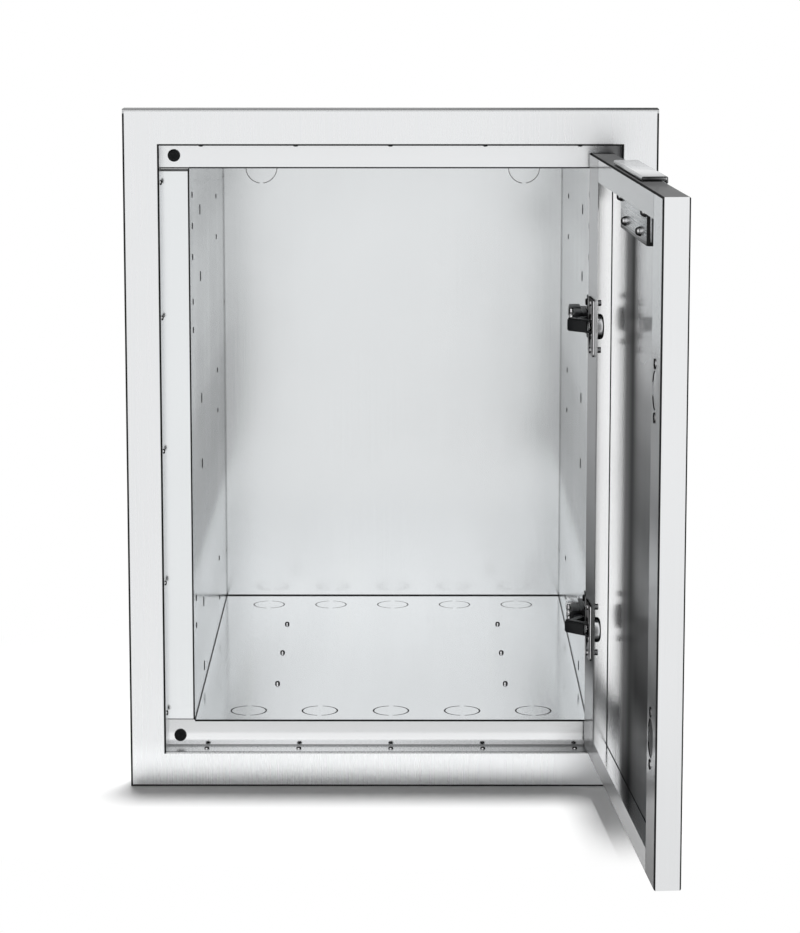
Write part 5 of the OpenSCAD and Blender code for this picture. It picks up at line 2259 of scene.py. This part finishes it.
@dataclass
class HingeSet:
    """Both hinges with their screws."""

    shop: Workshop
    screw_span: float = 52.0
    arm_deep: float = 18.0
    wheel_radius: float = 9.0
    wheel_thick: float = 3.5
    knurl: float = 0.45
    sleeve: Head = Head(3.5, 1.6, 3.3, 11.5, crown=0.55, recess=1.1)
    wall_screw: Head = Head(4.0, 2.0, 2.4, 8.9, crown=0.55, recess=1.3)
    wall_nut: Head = Head(4.5, 3.6, 2.4, 0.5, crown=0.12, sides=6)

    def build(self) -> None:
        """Makes the hinges, then the screws."""
        layout = self.shop.layout
        low, high = layout.hinge_levels
        Hinge(self.shop, "lower_hinge", low, COVER_STEEL).build()
        Hinge(self.shop, "upper_hinge", high, BLACK_PAINT).build()
        self.wheels()
        cup_x, cup_y = layout.door_half - layout.cup_inset, layout.door_inner + layout.cup_plate_thick
        cups = [((cup_x, cup_y, up), (0, 1, 0)) for up in paired(layout.hinge_levels, self.screw_span)]
        self.shop.row("cup_screw_heads", cups, self.sleeve, body=Body.DOOR, nodes=("cup_screws",))
        inside, outside = layout.wall - layout.wall_plate_thick, layout.wall + layout.sheet
        ups = paired(layout.hinge_levels, layout.wall_plate_pitch)
        walls = [((inside, layout.hinge_column, up), (-1, 0, 0)) for up in ups]
        nodes = ("hinge_plate_screws",)
        self.shop.row("wall_plate_screw_heads", walls, self.wall_screw, DULL_STEEL, nodes=nodes)
        nuts = [((outside, layout.hinge_column, up), (1, 0, 0)) for up in ups]
        self.shop.row("wall_plate_nuts", nuts, self.wall_nut, DULL_STEEL)

    def wheels(self) -> None:
        """The knurled adjusting wheel on each arm's face, with its slot."""
        layout = self.shop.layout
        work = Workpiece()
        r, t = self.wheel_radius, self.wheel_thick
        profile = [(0.0, t - 0.8), (r * 0.55, t - 0.8), (r * 0.62, t - 0.1), (r - 1.0, t), (r, t - 0.8)]
        profile += [(r, 0.8), (r - 0.8, 0.0), (0.0, 0.0)]
        for level in layout.hinge_levels:
            seat = (layout.wall - self.arm_deep, layout.hinge_column, level)
            out = laid(Lie.ROOM, seat)
            work.lathe(profile, out, 64, self.knurl)
            work.block((-r * 0.5, -0.7, t - 0.9), (r * 0.5, 0.7, t - 0.55), out, 0.1)
        body = Body.CABINET.value
        self.shop.keep(work, "adjusting_wheels", WHEEL_STEEL, body, "fastener_steel", "arm_adjusters")


@dataclass
class Door:
    """The door's folded pan and the threaded nuts of its spare hinge places."""

    shop: Workshop

    def build(self) -> None:
        """Dresses the pan and its nuts."""
        self.shop.dress(DOOR_STEEL, "door_pan")
        self.shop.dress(HEAD_STEEL, "spare_cup_nuts")


@dataclass
class Pull:
    """The pull on the door's top edge, its leg, and the bracket with its four cap nuts."""

    shop: Workshop
    length: float = 190.0
    thick: float = 4.5
    rise: float = 0.8
    lip_drop: float = 3.0
    lip_curl: float = 1.2
    leg_sheet: float = 1.5
    leg_inset: float = 6.0
    leg_rise: float = 4.0
    bracket_length: float = 180.0
    bracket_bend: float = 3.0
    nut_span_top: float = 160.0
    nut_span_low: float = 98.0
    nut_drop_top: float = 31.5
    nut_drop_low: float = 54.0
    cap_nut: Head = Head(4.3, 3.6, 2.5, 10.0, flange_radius=5.0, flange_height=2.0, crown=0.85)

    def build(self) -> None:
        """Makes the bar with its leg, the bracket and the nuts."""
        self.bar()
        self.bracket()
        self.nuts()

    def bar(self) -> None:
        """The bar: one strip, hemmed under at the back and turned down at the front."""
        layout = self.shop.layout
        work = Workpiece()
        r, curl, width = self.thick / 2, self.lip_curl, layout.pull_width
        outline = arc((r, r), r, 270, 90, 10)
        outline += arc((width - r, r), r, 90, 0, 8)
        outline += arc((width - curl, curl - self.lip_drop), curl, 0, -180, 8)
        outline += [(width - 2 * curl, 0.0)]
        back = layout.door_inner - layout.pull_setback
        base = layout.door_high + self.rise
        place = laid(Lie.ACROSS, (0.0, back, base))
        work.prism(outline[::-1], -self.length / 2, self.length / 2, place, 1.0)
        leg_y = layout.door_inner - layout.bracket_set - layout.sheet - 0.1
        leg_half = self.bracket_length / 2 - self.leg_inset
        foot = layout.bracket_foot + self.leg_rise
        work.block((-leg_half, leg_y - self.leg_sheet, foot), (leg_half, leg_y, base + r), edge=0.3)
        self.shop.keep(work, "pull_bar", PULL_STEEL, Body.DOOR.value, "pull_steel", "pull_handle")

    def bracket(self) -> None:
        """The bracket: a plate with a rounded bend into each end flange."""
        layout = self.shop.layout
        work = Workpiece()
        t = layout.sheet
        face = layout.door_inner - layout.bracket_set
        skin = layout.door_outer + t
        half = self.bracket_length / 2
        r = self.bracket_bend
        path = [(-half + t / 2, skin + 0.05)]
        path += arc((-half + t / 2 + r, face - t / 2 - r), r, 180, 90, 6)
        path += arc((half - t / 2 - r, face - t / 2 - r), r, 90, 0, 6)
        path += [(half - t / 2, skin + 0.05)]
        top = layout.door_high - layout.bracket_drop
        work.prism(thickened(path, t), layout.bracket_foot, top, Matrix(), 0.3)
        self.shop.keep(work, "pull_backing", BRACKET_STEEL, Body.DOOR.value, "door_sheet", "pull_bracket")

    def nuts(self) -> None:
        """The four cap nuts on the bracket."""
        layout = self.shop.layout
        face = layout.door_inner - layout.bracket_set
        seats = []
        for span, drop in ((self.nut_span_top, self.nut_drop_top), (self.nut_span_low, self.nut_drop_low)):
            seats += [((x, face, layout.door_high - drop), (0, 1, 0)) for x in paired((0.0,), span)]
        self.shop.row("pull_cap_nut_heads", seats, self.cap_nut, body=Body.DOOR, nodes=("pull_cap_nuts",))


@dataclass
class Studio:
    """Floor, light and camera."""

    floor_half: float = 40.0
    floor_white: float = 0.90
    far_start: float = 0.42
    far_end: float = 0.85
    front_fade: float = 2.7
    camera_place: tuple[float, float, float] = (0.0150, -3.2527, 0.9845)
    camera_pitch: float = math.radians(8.631)
    camera_yaw: float = math.radians(0.081)
    camera_lens: float = 114.62
    camera_drop: float = -0.12
    world_light: float = 0.18
    over_strength: float = 3.05
    over_angle: float = math.radians(5.0)
    lamp_side: float = 1.4
    lamp_power: float = 14.0

    def build(self) -> None:
        """Makes the floor, the world, the lamps and the camera."""
        self.make_floor()
        self.make_world()
        self.make_lamps()
        self.make_camera()

    def make_floor(self) -> None:
        """A pale floor that glows white to the eye away from the cabinet, and further out in front, painting
        out the shadow there; near the cabinet its real shadow shows.
        """
        mesh = bpy.data.meshes.new("studio_floor")
        side = self.floor_half
        corners = [(-side, -side, 0), (side, -side, 0), (side, side, 0), (-side, side, 0)]
        mesh.from_pydata([Vector(corner) for corner in corners], [], [(0, 1, 2, 3)])
        material = bpy.data.materials.new("pale floor")
        material.use_nodes = True
        sheet = NodeSheet(material.node_tree)
        x, y, _ = sheet.axes(sheet.node("ShaderNodeTexCoord").outputs["Object"])
        white = (self.floor_white, self.floor_white, self.floor_white, 1.0)
        matt = sheet.node("ShaderNodeBsdfDiffuse", sockets={"Color": white})
        ahead = sheet.math("MAXIMUM", y * -self.front_fade, y)
        away = (x * x + ahead * ahead) ** 0.5
        far = 1.0 - sheet.within(away, self.far_start, self.far_end - self.far_start)
        glow = sheet.node("ShaderNodeEmission", sockets={"Strength": 1.0})
        both = sheet.node(
            "ShaderNodeMixShader", sockets={0: self.seen(sheet) * far, 1: matt.outputs[0], 2: glow.outputs[0]}
        )
        sheet.node("ShaderNodeOutputMaterial", sockets={"Surface": both.outputs[0]})
        mesh.materials.append(material)
        floor = put("studio_floor", mesh)

    def seen(self, sheet: NodeSheet) -> Amount:
        """1 where the eye looks, straight or by way of steel, and 0 for light on a matt surface.

        Args:
            sheet: the tree.

        Returns:
            The mask.
        """
        path = sheet.node("ShaderNodeLightPath")
        rays = ("Is Camera Ray", "Is Glossy Ray", "Is Transmission Ray")
        straight = sheet.math("LESS_THAN", Amount(sheet, path.outputs["Diffuse Depth"]), 0.5)
        return sheet.either(*(Amount(sheet, path.outputs[ray]) for ray in rays)) * straight

    def make_world(self) -> None:
        """A surround that is white to the eye and in reflections, and softer as a light."""
        world = bpy.data.worlds.new("studio")
        bpy.context.scene.world = world
        world.use_nodes = True
        sheet = NodeSheet(world.node_tree)
        strength = self.world_light + self.seen(sheet) * (1.0 - self.world_light)
        white = {"Color": (1.0, 1.0, 1.0, 1.0), "Strength": strength}
        back = sheet.node("ShaderNodeBackground", sockets=white)
        sheet.node("ShaderNodeOutputWorld", sockets={"Surface": back.outputs[0]})

    def make_lamps(self) -> None:
        """A steady light from almost straight overhead, and two weak square lamps low in front."""
        lamps = (
            ("light_over", "SUN", Vector((0.10, 0.62, 9.0)), self.over_strength),
            ("lamp_left", "AREA", Vector((-2.6, -2.4, 1.0)), self.lamp_power),
            ("lamp_front", "AREA", Vector((1.2, -4.2, 0.8)), self.lamp_power),
        )
        for name, kind, place, energy in lamps:
            data = bpy.data.lights.new(name, kind)
            data.energy = energy
            if kind == "SUN":
                data.angle = self.over_angle
            else:
                data.shape = "SQUARE"
                data.size = self.lamp_side
            lamp = put(name, data)
            lamp.location = place
            lamp.visible_glossy = False
            lamp.rotation_euler = place.to_track_quat("Z", "Y").to_euler()

    def make_camera(self) -> None:
        """A long lens above the cabinet's middle, tilted down a little."""
        data = bpy.data.cameras.new("camera")
        data.lens = self.camera_lens
        data.sensor_width = 36.0
        data.shift_y = self.camera_drop
        data.clip_end = 200.0
        camera = put("camera", data)
        camera.location = self.camera_place
        camera.rotation_euler = (math.pi / 2 - self.camera_pitch, 0.0, self.camera_yaw)
        bpy.context.scene.camera = camera


def main() -> None:
    """Builds the studio and dresses the cabinet, one sub-assembly after another."""
    logging.basicConfig(level=logging.INFO, format="%(name)s: %(message)s")
    bpy.context.scene.view_settings.view_transform = "Standard"
    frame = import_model()
    Studio().build()
    shop = Workshop(frame["nodes"], Layout.from_frame(frame))
    for assembly in (FaceFrame, BoxShell, Bumpers, HingeSet, Door, Pull):
        LOG.info("building %s", assembly.__name__)
        assembly(shop).build()


if __name__ == "__main__":
    main()
